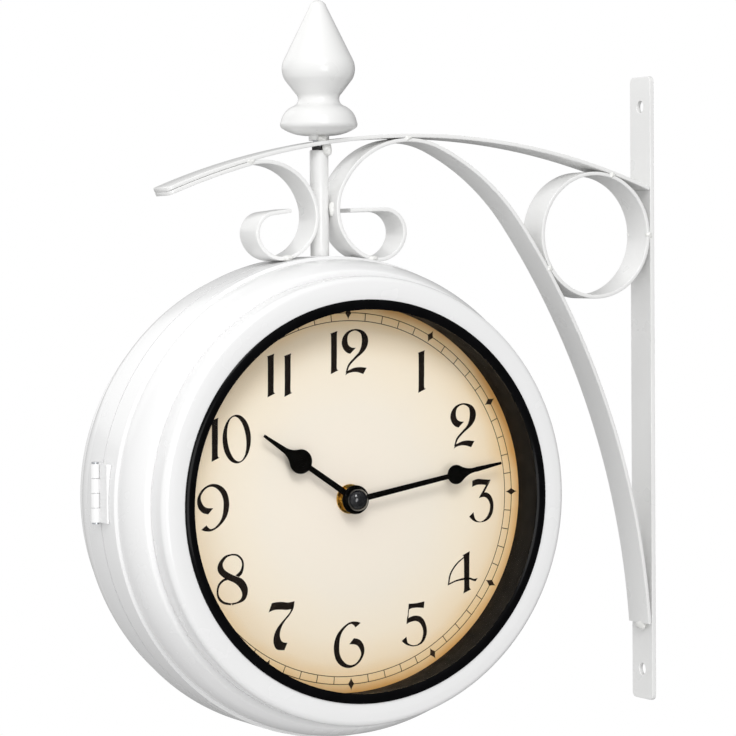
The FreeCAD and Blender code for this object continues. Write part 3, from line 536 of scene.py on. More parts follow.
class Finishes:
    """All finishes of the clock, made once."""

    def __init__(self) -> None:
        """Make every material."""
        centre = tuple(CASE_CENTRE)
        self.case_paint = StovedPaint("stoved white enamel on pressed steel").make()
        self.strip_paint = StovedPaint("stoved white enamel on flat bar", "#F0F0EF", "#E6E6E5", 1.5,
                                       0.010, 14.0, 0.05, 0.28).make()
        self.weld_paint = StovedPaint("white enamel over weld", "#F2F2F0", "#DEDEDA", 0.9, 0.05,
                                      3.0, 0.25, 0.3).make()
        self.rim_black = BlackLacquer("gloss black rim", "#08080A", "#040405", 0.14, 0.04).make()
        self.hand_black = BlackLacquer("satin black hands", "#080706", "#040403", 0.42, 0.0,
                                       0.02).make()
        self.cap_black = BlackLacquer("polished black cap", "#15161A", "#08090B", 0.1, 1.0).make()
        self.ink = MouldedPlastic("dark brown dial ink", "#1E1610", "#140E0A", 0.5, 0.6,
                                  0.004, 0.08).make()
        self.fine_ink = MouldedPlastic("thin brown dial ink", "#3A2C20", "#2C2118", 0.5, 0.6,
                                       0.004, 0.1).make()
        self.dial = PrintedDial("printed cream dial", centre).make()
        self.glass = ClearGlass().make()
        self.sleeve = MouldedPlastic("black dial sleeve", "#0B0A0A", "#060606", 0.6,
                                     shine=0.12).make()
        self.brass = PlainMetal("turned brass", "#D9B25C", "#B98F3E", 0.25, (1.0, 10.0, 1.0)).make()
        self.zinc = PlainMetal("bright zinc plate", "#C9CBCE", "#A2A5A9", 0.3).make()
        self.steel = PlainMetal("plain steel", "#9DA0A4", "#75787C", 0.35).make()
        self.movement = MouldedPlastic("black movement moulding", "#1D1D1F", "#121214", 0.45, 0.9,
                                       0.03).make()
        self.knob = MouldedPlastic("white setting wheel", "#E6E5E0", "#D6D5CF", 0.4).make()
        self.jacket = MouldedPlastic("plain dark cell jacket", "#2C3644", "#202834", 0.25).make()
        self.ferrite = MouldedPlastic("dark ferrite", "#2B2A2B", "#1D1C1D", 0.65, 0.8, 0.05).make()


def dress(piece: bpy.types.Object, finish: bpy.types.Material, body: str | None = None) -> bpy.types.Object:
    """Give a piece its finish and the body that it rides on."""
    piece.data.materials.clear()
    piece.data.materials.append(finish)
    if body:
        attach(piece, body)
    return piece


def dress_node(node: str, finish: bpy.types.Material) -> None:
    """Give a frame node that stays in view its finish."""
    slots = frame["nodes"][node].material_slots
    for entry in slots:
        entry.material = finish


# ------------------------------------------------------------------ bracket
@dataclass
class Route:
    """Line of a bent strip: a straight lead, arcs that turn to the right and a straight tail.

    Along an arc of radius r about c the line's outer side is c - r n(h), where n is the unit
    vector to the right of heading h and h falls evenly; the inner side lies one thickness nearer.
    """

    start: tuple[float, float]
    heading: float
    legs: Sequence[tuple[float, float]]
    lead: float = 0.0
    tail: float = 0.0
    spacing: float = 0.9

    def sample(self) -> tuple[np.ndarray, np.ndarray, np.ndarray]:
        """Sample the line evenly.

        Returns:
            Outer points, unit vectors to the right, and distances along the line, all in mm.
        """
        spot, heading = np.array(self.start, float), self.heading
        moves = [(self.lead, None)] if self.lead else []
        moves += list(self.legs)
        moves += [(self.tail, None)] if self.tail else []
        points, rights, lengths, done = [], [], [], 0.0
        for size, turn in moves:
            run = size if turn is None else size * math.radians(turn)
            share = np.linspace(0, 1, max(4, int(run / self.spacing)))[:, None]
            angle = np.radians(heading - (turn or 0.0) * share)
            right = np.hstack([np.sin(angle), -np.cos(angle)])
            if turn is None:
                line = spot + np.array([-right[0, 1], right[0, 0]]) * size * share
            else:
                line = spot + right[0] * size - size * right
                heading -= turn
            points.append(line[:-1])
            rights.append(right[:-1])
            lengths.append(done + run * share[:-1, 0])
            spot, done = line[-1], done + run
        points.append(spot[None])
        rights.append(right[-1:])
        lengths.append(np.array([done]))
        return np.concatenate(points), np.concatenate(rights), np.concatenate(lengths)


@dataclass
class Bracket:
    """Bracket of painted flat bar on edge, welded where the strips touch.

    Places on it are given in mm across and up from the centre of the case. A leg of a strip is
    the radius and the turn of one arc of its outer side.
    """

    finishes: Finishes
    width: float = 20.0
    thick: float = 2.0
    edge: float = 0.45
    tip_radius: float = 2.8
    arm_start: tuple[float, float] = (-88.5, 155.6390)
    arm_heading: float = 22.52474
    arm_legs: tuple = ((373.8, 44.13264),)
    left_start: tuple[float, float] = (-87.6765, 153.6529)
    left_legs: tuple = ((371.65, 7.32474), (30.2, 89.6), (22.8, 86.9), (15.25, 89.5),
                        (11.0, 101.7))
    left_tail: float = 10.1
    brace_start: tuple[float, float] = (12.5735, 145.8078)
    brace_heading: float = 1.6
    brace_lead: float = 19.6
    brace_legs: tuple = ((12.5, 112.3), (16.5, 87.8), (27.3, 99.4), (44.4147, 86.7),
                         (121.7, 29.7), (423.568, 31.3343))
    ring_centre: tuple[float, float] = (158.7426, 131.9872)
    ring_radius: float = 33.6074
    post_radius: float = 4.75
    post_foot: float = 121.75
    post_top: float = 175.4
    stud_radius: float = 3.6
    stud_top: float = 177.6
    neck_radius: float = 5.2
    neck_foot: float = 180.4
    finial_base: float = 186.3
    finial_dish: float = 3.4
    finial_radius: float = 19.6
    finial_height: float = 65.0
    bead_size: tuple[float, float, float] = (2.2, 1.3, 1.8)
    bead_depth: float = 9.2

    def section(self, half_width: np.ndarray) -> tuple[np.ndarray, np.ndarray]:
        """Cross-section of the strip with quarter round edges.

        Returns:
            Distances across the thickness and across the width, one row per half width.
        """
        near, far = self.edge, self.thick - self.edge
        quarter = np.radians(np.linspace(0, 90, 4))
        arcs = []
        for first, x, end in ((180, near, -1), (270, far, -1), (0, far, 1), (90, near, 1)):
            angle = math.radians(first) + quarter
            arcs.append(np.stack([x + self.edge * np.cos(angle), self.edge * (np.sin(angle) - end),
                                  np.full_like(angle, end)], axis=-1))
        ring = np.concatenate(arcs)
        across = np.broadcast_to(ring[:, 0], (len(half_width), len(ring)))
        return across, ring[:, 1] + ring[:, 2] * half_width[:, None]

    def sweep(self, route: Route, cornered: bool = False) -> np.ndarray:
        """Carry the section along a route.

        At distance s from a free end with corners of radius r the half width w / 2 becomes
        w / 2 - r + sqrt(r^2 - (r - s)^2).

        Args:
            route: line of the strip's outer side.
            cornered: whether the start of the strip is a free end with rounded corners.

        Returns:
            Grid of points, one row for each place along the route.
        """
        outer, right, along = route.sample()
        half = np.full(len(along), self.width / 2)
        if cornered:
            near = np.clip(along / self.tip_radius, 0.0, 1.0)
            half -= self.tip_radius * (1 - np.sqrt(1 - (1 - near) ** 2))
        across, wide = self.section(half)
        x = outer[:, None, 0] + right[:, None, 0] * across
        z = outer[:, None, 1] + right[:, None, 1] * across
        return on_side(x, -wide, z, Side.FRONT)

    def strip(self, name: str, route: Route, cornered: bool = False) -> bpy.types.Object:
        """Strip along a route, closed at both ends."""
        points = self.sweep(route, cornered)
        rows, count = points.shape[:2]
        faces = grid_faces(rows, count, False, True).tolist()
        faces += [list(range(count)), list(range((rows - 1) * count, rows * count))]
        return make_mesh(name, points, faces, 40.0)

    def ring(self) -> bpy.types.Object:
        """Closed ring of the same strip."""
        start = (self.ring_centre[0] - self.ring_radius, self.ring_centre[1])
        points = self.sweep(Route(start, 90.0, ((self.ring_radius, 360.0),)))[:-1]
        return make_mesh("ring_of_flat_bar", points, grid_faces(*points.shape[:2], True, True),
                         40.0)

    def finial(self) -> bpy.types.Object:
        """Turned knob above the post: dished foot, hollow neck, full belly and blunt tip."""

        def at(share: float, height: float) -> tuple[float, float]:
            """Place at a share of the knob's radius and of its height above the base."""
            return share * self.finial_radius, self.finial_base + height * self.finial_height

        neck = (self.neck_radius, self.finial_base - self.finial_dish)
        under = (12.1, self.finial_base - 2.7)
        outline = [[(0.0, self.neck_foot), (self.neck_radius, self.neck_foot), neck],
                   arc_points(neck, under, at(0.93, 0.0), 10)[1:],
                   arc_points(at(0.93, 0.0), at(1.0, 0.025), at(0.985, 0.055), 8)[1:],
                   arc_points(at(0.985, 0.055), at(0.89, 0.125), at(0.645, 0.18), 14)[1:],
                   arc_points(at(0.645, 0.18), at(0.535, 0.225), at(0.60, 0.275), 12)[1:],
                   np.linspace(at(0.60, 0.275), at(0.88, 0.385), 8)[1:],
                   arc_points(at(0.88, 0.385), at(0.95, 0.47), at(0.88, 0.55), 12)[1:],
                   np.linspace(at(0.88, 0.55), at(0.22, 0.955), 20)[1:],
                   arc_points(at(0.22, 0.955), at(0.158, 0.985), at(0.0, 1.0), 8)[1:]]
        return self.upright("turned_finial", np.concatenate(outline), 96)

    def post(self) -> None:
        """Round post that stops just short of the arm, with a stud in the gap painted dark as the shade
        under the arm.
        """
        radius, foot, top = self.post_radius, self.post_foot, self.post_top
        line = rounded([(0.0, foot, 0), (radius, foot, 0.2), (radius, top, 0.5), (0.0, top, 0)],
                       4, False)
        stud = np.array([(0.0, top), (self.stud_radius, top), (self.stud_radius, self.stud_top),
                         (0.0, self.stud_top)])
        # The stud takes the dark ferrite finish as painted shade. It stands for the shadow under the arm,
        # not for the stud's own colour.
        for name, outline, finish, slot in (
                ("round_post", line, self.finishes.strip_paint, "white_bracket"),
                ("dark_stud_under_arm", stud, self.finishes.ferrite, "bright_steel")):
            piece = dress(self.upright(name, outline, 48), finish, "bracket")
            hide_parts("post")

    @staticmethod
    def upright(name: str, line: np.ndarray, steps: int) -> bpy.types.Object:
        """Body of revolution about the post's axis from a profile of radius and height."""
        turn = np.linspace(0, 2 * math.pi, steps, endpoint=False)[:, None]
        points = on_side(line[None, :, 0] * np.cos(turn), line[None, :, 0] * np.sin(turn),
                         line[None, :, 1], Side.FRONT)
        return make_mesh(name, points, grid_faces(steps, len(line), True, True), 50.0)

    @staticmethod
    def lump(name: str, spot: Sequence[float], size: Sequence[float], seed: int
             ) -> bpy.types.Object:
        """Weld bead: an ellipsoid whose radius swells and shrinks in a few smooth lobes.

        At turn t and tilt p, with seed k, the radius is multiplied by
        1 + 0.12 sin(3t + k) sin(2p) + 0.08 cos(2t - k), and by 1 at both poles.
        """
        turns, tilts = 20, 12
        turn = np.linspace(0, 2 * math.pi, turns, endpoint=False)[:, None]
        tilt = np.linspace(0, math.pi, tilts)[None, :]
        swell = (1 + 0.12 * np.sin(3 * turn + seed) * np.sin(2 * tilt)
                 + 0.08 * np.cos(2 * turn - seed))
        swell = np.where((tilt == 0) | (tilt >= math.pi - 1e-9), 1.0, swell)
        x = spot[0] + size[0] * swell * np.sin(tilt) * np.cos(turn)
        depth = spot[1] + size[1] * swell * np.cos(tilt) * np.ones_like(turn)
        z = spot[2] + size[2] * swell * np.sin(tilt) * np.sin(turn)
        return make_mesh(name, on_side(x, depth, z, Side.FRONT),
                         grid_faces(turns, tilts, True, False), 80.0)

    def welds(self) -> None:
        """Put a bead on both edges of the bar where strips touch, and one at each other joint."""
        contacts = {"arm_and_left_scroll": (-42.7, 168.9), "arm_and_brace": (46.3, 181.9),
                    "arm_and_ring": (169.1, 163.9), "brace_and_ring": (130.2, 114.4),
                    "bar_and_ring": (192.0, 132.0)}
        for number, (words, (x, z)) in enumerate(contacts.items()):
            for side in Side:
                self.bead(self.lump(f"weld_{words}_{side.word}",
                                    (x, -self.bead_depth * side.value, z), self.bead_size, number))
        joints = {"left_scroll_and_case": ((-22.6, 9.2, 120.9), (3.0, 1.8, 1.6)),
                  "brace_and_case": ((25.3, 9.2, 120.2), (3.0, 1.8, 1.6)),
                  "left_scroll_and_post": ((-4.6, 4.6, 141.8), (1.6, 1.6, 3.2)),
                  "brace_and_post": ((4.7, 4.6, 145.5), (1.6, 1.6, 3.4)),
                  "arm_and_post": ((1.9, 5.4, 176.0), (2.6, 2.3, 3.5)),
                  "neck_and_arm": ((-0.8, 6.0, 181.0), (2.5, 2.0, 2.1)),
                  "arm_and_bar": ((191.6, 0.0, 157.9), (1.7, 8.4, 2.0)),
                  "brace_foot": ((191.3, 0.6, -78.0), (1.7, 4.6, 2.6))}
        for number, (words, (spot, size)) in enumerate(joints.items()):
            self.bead(self.lump(f"weld_{words}", spot, size, number + 7))

    def bead(self, bead: bpy.types.Object) -> None:
        """Finish one bead and let it stand for the frame's beads."""
        dress(bead, self.finishes.weld_paint, "bracket")
        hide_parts("weld_beads")

    def build(self) -> None:
        """Build and dress the whole bracket."""
        paint = self.finishes.strip_paint
        arm = Route(self.arm_start, self.arm_heading, self.arm_legs)
        left = Route(self.left_start, self.arm_heading, self.left_legs, tail=self.left_tail)
        brace = Route(self.brace_start, self.brace_heading, self.brace_legs, lead=self.brace_lead)
        strips = {
            "top_arm": self.strip("curved_top_arm", arm, True),
            "left_scroll": self.strip("rolled_left_scroll", left, True),
            "brace_scroll": self.strip("scrolled_brace", brace),
            "bracket_ring": self.ring(),
            "finial": self.finial(),
        }
        for node, piece in strips.items():
            dress(piece, paint, "bracket")
            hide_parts(node)
            log.info("bracket piece %s", piece.name)
        dress(copied("wall_bar", "flat_wall_bar", 0.6), paint)
        self.post()
        dress_node("finial_stud", self.finishes.zinc)
        self.welds()


# ------------------------------------------------------------------ case
@dataclass
class CaseHalf:
    """One pressed half of the case with its bezel, rim, glass and sleeve, in mm."""

    finishes: Finishes
    side: Side
    sheet: float = 1.0
    seam: float = 0.3
    rim_radius: float = 121.5
    rim_width: float = 17.4
    step: float = 1.7
    shoulder_depth: float = 39.4
    shoulder_radius: float = 114.3
    shoulder_bulge: float = 2.0
    shoulder_bore: float = 101.0
    bezel_radius: float = 111.5
    bezel_crown: float = 105.0
    bezel_bore: float = 99.1
    bezel_foot: float = 6.0
    front: float = 54.2
    lip_outer: float = 100.0
    lip_bore: float = 95.0
    lip_rise: float = 0.6
    tube_outer: float = 99.0
    tube_bore: float = 98.2
    tube_length: float = 22.8
    fit_radius: float = 98.1
    sleeve_bore: float = 96.9
    glass_back: float = 52.2
    dial_face: float = 31.4

    def shell_profile(self) -> np.ndarray:
        """Rim, step and bulged shoulder as one sheet, with the soft bends of pressed steel."""
        r, t = self.rim_radius, self.sheet
        step = (r - self.step, self.rim_width + t)
        top = (self.shoulder_radius, self.shoulder_depth)
        chord = np.array(top) - np.array(step)
        out = np.array([chord[1], -chord[0]]) / np.linalg.norm(chord)
        middle = (np.array(step) + np.array(top)) / 2 + out * self.shoulder_bulge
        bulge = arc_points(step, middle, top, 16)
        inner = arc_points((top[0] - t, top[1] - t), middle - out * t, (step[0] - t, step[1]), 16)
        outer_line = rounded([(r, self.seam, 0.0), (r, self.rim_width, 0.8), (*step, 0.6)]
                             + [(*point, 0.0) for point in bulge[1:-1]]
                             + [(*top, 1.4), (self.shoulder_bore, self.shoulder_depth, 0.0)],
                             5, False)
        inner_line = np.concatenate([[(self.shoulder_bore, self.shoulder_depth - t)], inner,
                                     [(r - t, self.rim_width), (r - t, self.seam)]])
        return np.concatenate([outer_line, inner_line])

    def bezel_profile(self) -> np.ndarray:
        """Side wall with a rolled front edge and a gently crowned face."""
        outer, front, t, foot = self.bezel_radius, self.front, self.sheet, self.shoulder_depth
        return rounded([(outer, foot, 0.5), (outer, front - 0.3, 3.2),
                        (self.bezel_crown, front, 4.0), (self.bezel_bore, front, 0.2),
                        (self.bezel_bore, front - t, 0.0), (outer - 2.4, front - t, 1.2),
                        (outer - t, foot + t, 0.3), (outer - self.bezel_foot, foot + t, 0.0),
                        (outer - self.bezel_foot, foot, 0.0)], 7)

    def rim_profile(self) -> np.ndarray:
        """Crowned lip in front and a thin tube back to the dial."""
        front, side_height = self.front, self.front + self.lip_rise
        back = front - self.tube_length
        crown = arc_points((self.lip_bore, side_height),
                           ((self.lip_bore + self.lip_outer) / 2, front + 2 * self.lip_rise),
                           (self.lip_outer, side_height), 12)
        return np.concatenate([crown, [(self.lip_outer, front), (self.tube_outer, front),
                                       (self.tube_outer, back), (self.tube_bore, back),
                                       (self.tube_bore, front), (self.lip_bore, front)]])

    def sleeve_profile(self) -> np.ndarray:
        """Thin tube between dial and glass, with its front edge broken towards the reader."""
        return rounded([(self.fit_radius, self.dial_face, 0), (self.fit_radius, self.glass_back, 0),
                        (self.sleeve_bore, self.glass_back, 0.3),
                        (self.sleeve_bore, self.dial_face, 0)], 3)

    def build(self) -> None:
        """Build and dress this half of the case."""
        side, word, finishes = self.side, self.side.word, self.finishes
        shell_node = "case_front_shell" if side is Side.FRONT else "case_rear_door"
        glass = self.disc_profile(self.fit_radius, self.glass_back, self.front)
        pieces = (
            (turned(f"{word}_pressed_shell", self.shell_profile(), side, 288), shell_node,
             finishes.case_paint, "white_case"),
            (turned(f"{word}_rolled_bezel", self.bezel_profile(), side, 288), f"{word}_bezel",
             finishes.case_paint, "white_case"),
            (turned(f"{word}_black_rim", self.rim_profile(), side, 288, 30.0), f"{word}_rim",
             finishes.rim_black, "black_rim"),
            (turned(f"{word}_flat_glass", glass, side), f"{word}_glass",
             finishes.glass, "clear_glass"),
            (turned(f"{word}_dial_sleeve", self.sleeve_profile(), side), f"{word}_sleeve",
             finishes.sleeve, "sleeve_white"),
        )
        for piece, node, finish, slot in pieces:
            dress(piece, finish, side.carrier)
            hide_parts(node)
            log.info("case piece %s", piece.name)

    @staticmethod
    def disc_profile(radius: float, back: float, front: float) -> np.ndarray:
        """Profile of a full disc from its axis at the back to its axis in front."""
        return rounded([(0.0, back, 0), (radius, back, 0.3), (radius, front, 0.3),
                        (0.0, front, 0)], 4, False)


# ------------------------------------------------------------------ dial
class Digit(Enum):
    """Broad pen strokes of the figures, in mm from the middle of each figure.

    A stroke is a ladder: each rung gives the two edges of the pen as x, y, x, y. Nine is six
    turned half round, and nought is drawn as two ovals.
    """

    ONE = (
        ((-2.2, 9.4, 1.8, 10.7), (-1.8, 8.2, 1.5, 8.6), (-1.8, -0.2, 1.4, -0.2),
         (-1.9, -7.9, 1.3, -7.7), (-2.1, -10.7, 2.2, -8.8)),
    )
    TWO = (
        ((-2.7, -0.8, 0.4, 2.1), (-4.5, -0.2, -1.8, 2.3), (-6.4, 1.6, -3.5, 3.4),
         (-7.4, 4.6, -4.2, 5.6), (-6.4, 8, -3.9, 8.2), (-3.6, 10.6, -2.5, 9.9),
         (0.4, 11.5, 0.2, 10.7), (4.4, 10.6, 2.9, 9.5), (6.7, 8.3, 3.7, 7.7), (7.4, 5.6, 3.8, 5),
         (6.6, 2.5, 3.2, 2.1), (4.4, -0.3, 1.9, -0.3), (0.4, -3.4, -0.5, -2.6),
         (-3, -6.7, -3.9, -6.1), (-4.3, -9.5, -5.4, -10.3)),
        ((-4.7, -9.5, -5.6, -11.5), (-3, -8.7, -3.9, -10.5), (-0.5, -7.8, -1.1, -9.9),
         (2.6, -7.5, 1.6, -10.1), (6.4, -7.9, 4.5, -11)),
    )
    THREE = (
        ((-5.1, 10.3, -5.3, 7.2), (-2.1, 11.1, -2.4, 8.1), (1.3, 10.8, 0.6, 8.1),
         (5.6, 10.4, 2.9, 7.8)),
        ((5.4, 10, 2.7, 7.7), (3.7, 7.2, 1.3, 5.5), (1.9, 4.2, -1.5, 1.3)),
        ((1.7, 4.1, -1.5, 1.3), (3.4, 3.9, 1.3, 1.8), (5.4, 2.5, 3.4, 0.9), (6.8, -0.2, 4.8, -1.3),
         (7.1, -3.4, 5.1, -3.4), (6.5, -6.5, 4.5, -6.2), (4.8, -9.2, 2.9, -8.7),
         (2.2, -10.7, 1, -10.2), (-0.6, -11.1, -0.8, -10.7), (-3.4, -10.7, -2.6, -10.1),
         (-5.5, -9.5, -3.8, -8.8), (-7.1, -7.9, -4.6, -5.7)),
    )
    FOUR = (
        ((-0.1, 8.8, 4.2, 10.7), (0.7, 7.6, 4, 8.2), (0.8, -0, 3.9, -0), (0.8, -7.7, 3.9, -7.4),
         (0.3, -10.7, 4.8, -8.8)),
        ((0.7, 8, 0.7, 7.3), (-3, 5.5, -2.5, 4.9), (-6, 2.2, -5.4, 1.7), (-7.8, -1.1, -7, -1.5),
         (-8.7, -6.1, -7.8, -5.3)),
        ((-7.8, -5, -8.6, -6.1), (-3.9, -3.6, -3.9, -4.4), (0.7, -2.7, 0.7, -3.8),
         (4.1, -2.7, 4.1, -3.8), (6.5, -3.5, 6.1, -4.5), (8.7, -3.2, 7.5, -4.8)),
    )
    FIVE = (
        ((-3, 10.5, -3.3, 7.3), (-1.4, 10.5, -1.5, 8.1), (1.7, 10.6, 1.7, 8.3),
         (6, 11.2, 5.6, 7.9)),
        ((-3.4, 7.5, -2.8, 7.5), (-3.6, 4.9, -3.1, 4.9), (-4, 3.4, -3.2, 3.6),
         (-4.4, 0.2, -3.4, 2.8)),
        ((-3.5, 3, -4.3, 0.2), (-2.3, 3.7, -2.6, 1.1), (0.5, 4.3, 0.5, 1.6), (3.6, 3.7, 2.8, 0.8),
         (5.8, 1.5, 4.3, -1.1), (7.1, -2, 5.1, -3.6), (7.1, -5.4, 4.9, -6.2),
         (5.6, -8.7, 3.9, -8.7), (3.3, -10.5, 2, -10.2), (-0.1, -11.2, -0.3, -10.6),
         (-3.2, -10.6, -2.4, -10), (-5.4, -9.6, -3.8, -8.9), (-7.1, -8, -4.4, -6)),
    )
    SIX = (
        ((6.5, 10.6, 3.6, 8.5), (4.6, 11.3, 2.6, 9.7), (1.5, 11.5, 1.2, 10.4),
         (-1.5, 10.4, -0.9, 9.6), (-4.6, 8, -3.4, 7.2), (-7.1, 4.8, -4.9, 4.2),
         (-8.4, 0.9, -5.5, 0.3), (-8.5, -3.1, -5.4, -3.7), (-7.4, -7.1, -4, -7.1),
         (-4.9, -10, -1.5, -9.5), (-1.2, -11.5, 1.2, -10.2), (2.5, -11.1, 3.6, -9.4),
         (6, -8.8, 5.3, -7.8), (8, -5.6, 6.5, -5.6), (8.5, -2.8, 6.3, -3.4), (7.7, 0.1, 5, -1.1),
         (5.7, 2.3, 3.1, -0), (2.7, 3.2, 0, 0.3)),
    )
    SEVEN = (
        ((-5.3, 11.7, -7.1, 7.2), (-2.9, 12, -4.1, 8.2), (0.2, 12, -0.1, 8.2), (3.6, 11.5, 3, 7.9),
         (7.1, 12, 6.2, 8.3)),
        ((7.1, 11.9, 5.2, 8.3), (6.4, 8.3, 4.3, 6.4), (4.3, 5.1, 1.9, 3.9), (1.6, 2.2, -1, 1),
         (-0.3, -0.9, -3.3, -2.1), (-1.1, -4, -4.5, -5.5), (-0.6, -6.6, -4.4, -8.8),
         (0.8, -8, -2.7, -11.4), (3, -8.4, 1.3, -12)),
    )
    EIGHT = (
        ((-0.1, 12.6, -0.1, 11.8), (-3.8, 11.7, -2.6, 11), (-6.6, 9.1, -4.4, 9.1),
         (-7.8, 6.3, -5, 7.3), (-7.2, 3.6, -4.1, 5.1), (-4.7, 1.2, -1.7, 3.3), (-2.6, 0, 1.7, 1.6),
         (1.1, -1.7, 5.1, 0.2), (3.8, -4.1, 7.4, -2.3), (5.2, -6.9, 8.4, -5.5),
         (4.8, -9.4, 7.6, -9.1), (2.6, -11.1, 5.4, -11.2), (-0.7, -11.6, -0.1, -12.6)),
        ((-0.7, -11.6, -0.7, -12.6), (-4.4, -10.6, -4.9, -11.7), (-6.7, -8.4, -7.6, -9.2),
         (-7.4, -5.7, -8.4, -5.8), (-6.6, -2.7, -7.6, -2.2), (-4.4, -0.7, -5.2, 0.2),
         (-2.6, -0.2, -3.2, 0.8)),
        ((1.7, 1.8, 3.7, 1), (4.2, 3.9, 5.5, 2.8), (5.3, 6.7, 6.4, 6.3), (4.8, 9.2, 5.8, 9.6),
         (2.6, 11.3, 3.1, 12.1), (-0.1, 11.8, -0.1, 12.6)),
    )


@dataclass
class Dial:
    """Printed dial: sheet, numerals, minute track and the ornament between the hands."""

    finishes: Finishes
    side: Side
    face: float = 31.4
    sheet: float = 1.0
    radius: float = 98.9
    hub_bore: float = 4.1
    ink_rise: float = 0.06
    inner_circle: float = 88.7
    outer_circle: float = 92.6
    circle_width: float = 0.36
    tick_width: float = 0.4
    mark_radius: float = 92.5
    mark_length: float = 6.6
    mark_width: float = 3.5
    wide_figure: float = 15.0
    slim_figure: float = 4.2
    figure_gap: float = 1.9
    eleven_gap: float = 5.0
    places: dict[int, tuple[float, float]] = field(default_factory=lambda: {
        12: (0.6, 73.0), 1: (41.2, 62.5), 2: (64.8, 34.4), 3: (75.0, -4.0), 4: (63.9, -40.2),
        5: (35.8, -64.8), 6: (-0.9, -72.9), 7: (-38.0, -61.3), 8: (-64.6, -36.8), 9: (-74.4, -1.2),
        10: (-64.5, 31.8), 11: (-38.0, 62.4)})

    @staticmethod
    def smooth_line(points: np.ndarray, steps: int = 7) -> np.ndarray:
        """Curve through points: on each span the cubic whose end slopes follow the neighbours."""
        ends = np.concatenate([2 * points[:1] - points[1:2], points,
                               2 * points[-1:] - points[-2:-1]])
        a, b, c, d = ends[:-3], ends[1:-2], ends[2:-1], ends[3:]
        t = np.linspace(0, 1, steps, endpoint=False)[None, :, None]
        a, b, c, d = (p[:, None, :] for p in (a, b, c, d))
        curve = 0.5 * (2 * b + (c - a) * t + (2 * a - 5 * b + 4 * c - d) * t ** 2
                       + (3 * b - a - 3 * c + d) * t ** 3)
        return np.concatenate([curve.reshape(-1, points.shape[1]), points[-1:]])

    def stroke(self, rungs: Sequence[Sequence[float]], offset: Sequence[float], turn: int = 1
               ) -> tuple[np.ndarray, np.ndarray]:
        """Ribbon of one pen stroke, smooth along both edges of its ladder of rungs."""
        line = self.smooth_line(np.array(rungs, float)).reshape(-1, 2, 2) * turn
        return line + np.asarray(offset), grid_faces(len(line), 2, False, False)

    def oval(self, offset: Sequence[float]) -> tuple[np.ndarray, np.ndarray]:
        """Nought: the space between an upright oval and a narrower one that leans to the left."""
        turn = np.linspace(0, 2 * math.pi, 96, endpoint=False)
        lean = math.radians(7)
        outer = np.stack([7.6 * np.cos(turn), 11.9 * np.sin(turn)], axis=-1)
        x, y = 5.1 * np.cos(turn), 11.2 * np.sin(turn)
        inner = np.stack([x * math.cos(lean) - y * math.sin(lean),
                          x * math.sin(lean) + y * math.cos(lean)], axis=-1) * 0.985
        flat = np.stack([outer, inner], axis=1)
        return flat + np.asarray(offset), grid_faces(96, 2, True, False)

    def print_flat(self, name: str, ribbons: Sequence[tuple[np.ndarray, np.ndarray]],
                   finish: bpy.types.Material, rise: float) -> None:
        """Join flat ribbons into one printed piece just above the dial."""
        points, faces, count = [], [], 0
        for flat, quads in ribbons:
            flat = flat.reshape(-1, 2)
            points.append(on_side(flat[:, 0], np.full(len(flat), self.face + rise), flat[:, 1],
                                  self.side))
            faces.extend((quads + count).tolist())
            count += len(flat)
        piece = make_mesh(name, np.concatenate(points), faces, None, False)
        outward = self.side.value
        work = bmesh.new()
        work.from_mesh(piece.data)
        for item in work.faces:
            item.normal_update()
            if item.normal.y * outward < 0:
                item.normal_flip()
        work.to_mesh(piece.data)
        work.free()
        dress(piece, finish, self.side.carrier)

    def figure(self, letter: str, offset: Sequence[float]) -> list:
        """Ribbons of one figure about its middle."""
        if letter == "0":
            return [self.oval(offset)]
        turn = -1 if letter == "9" else 1
        digit = Digit.SIX if letter == "9" else list(Digit)[int(letter) - 1]
        return [self.stroke(rungs, offset, turn) for rungs in digit.value]

    def numerals(self) -> None:
        """Set the twelve figures upright round the dial."""
        for hour, (x, z) in self.places.items():
            text = str(hour)
            widths = [self.slim_figure if letter == "1" else self.wide_figure for letter in text]
            gap = self.eleven_gap if hour == 11 else self.figure_gap
            cursor = x - (sum(widths) + gap * (len(text) - 1)) / 2
            ribbons = []
            for letter, width in zip(text, widths):
                ribbons += self.figure(letter, (cursor + width / 2, z))
                cursor += width + gap
            self.print_flat(f"{self.side.word}_figure_{hour}", ribbons, self.finishes.ink,
                            self.ink_rise)

    @staticmethod
    def hoop(radius: float, width: float, steps: int = 360) -> tuple[np.ndarray, np.ndarray]:
        """Flat ring line of the given middle radius and width."""
        turn = np.linspace(0, 2 * math.pi, steps, endpoint=False)
        spoke = np.stack([np.sin(turn), np.cos(turn)], axis=-1)
        flat = np.stack([spoke * (radius + width / 2), spoke * (radius - width / 2)], axis=1)
        return flat, grid_faces(steps, 2, True, False)

    def lozenge(self, ahead: np.ndarray, aside: np.ndarray) -> tuple[np.ndarray, np.ndarray]:
        """Four pointed mark with hollow sides.

        At a share s of the way from its middle to a point, half the width is
        w / 2 (1 - s)^1.5.
        """
        way = np.linspace(-1, 1, 17)[:, None]
        half = self.mark_width / 2 * (1 - np.abs(way)) ** 1.5
        middle = ahead * (self.mark_radius + self.mark_length / 2 * way)
        flat = np.stack([middle + aside * half, middle - aside * half], axis=1)
        return flat, grid_faces(17, 2, False, False)

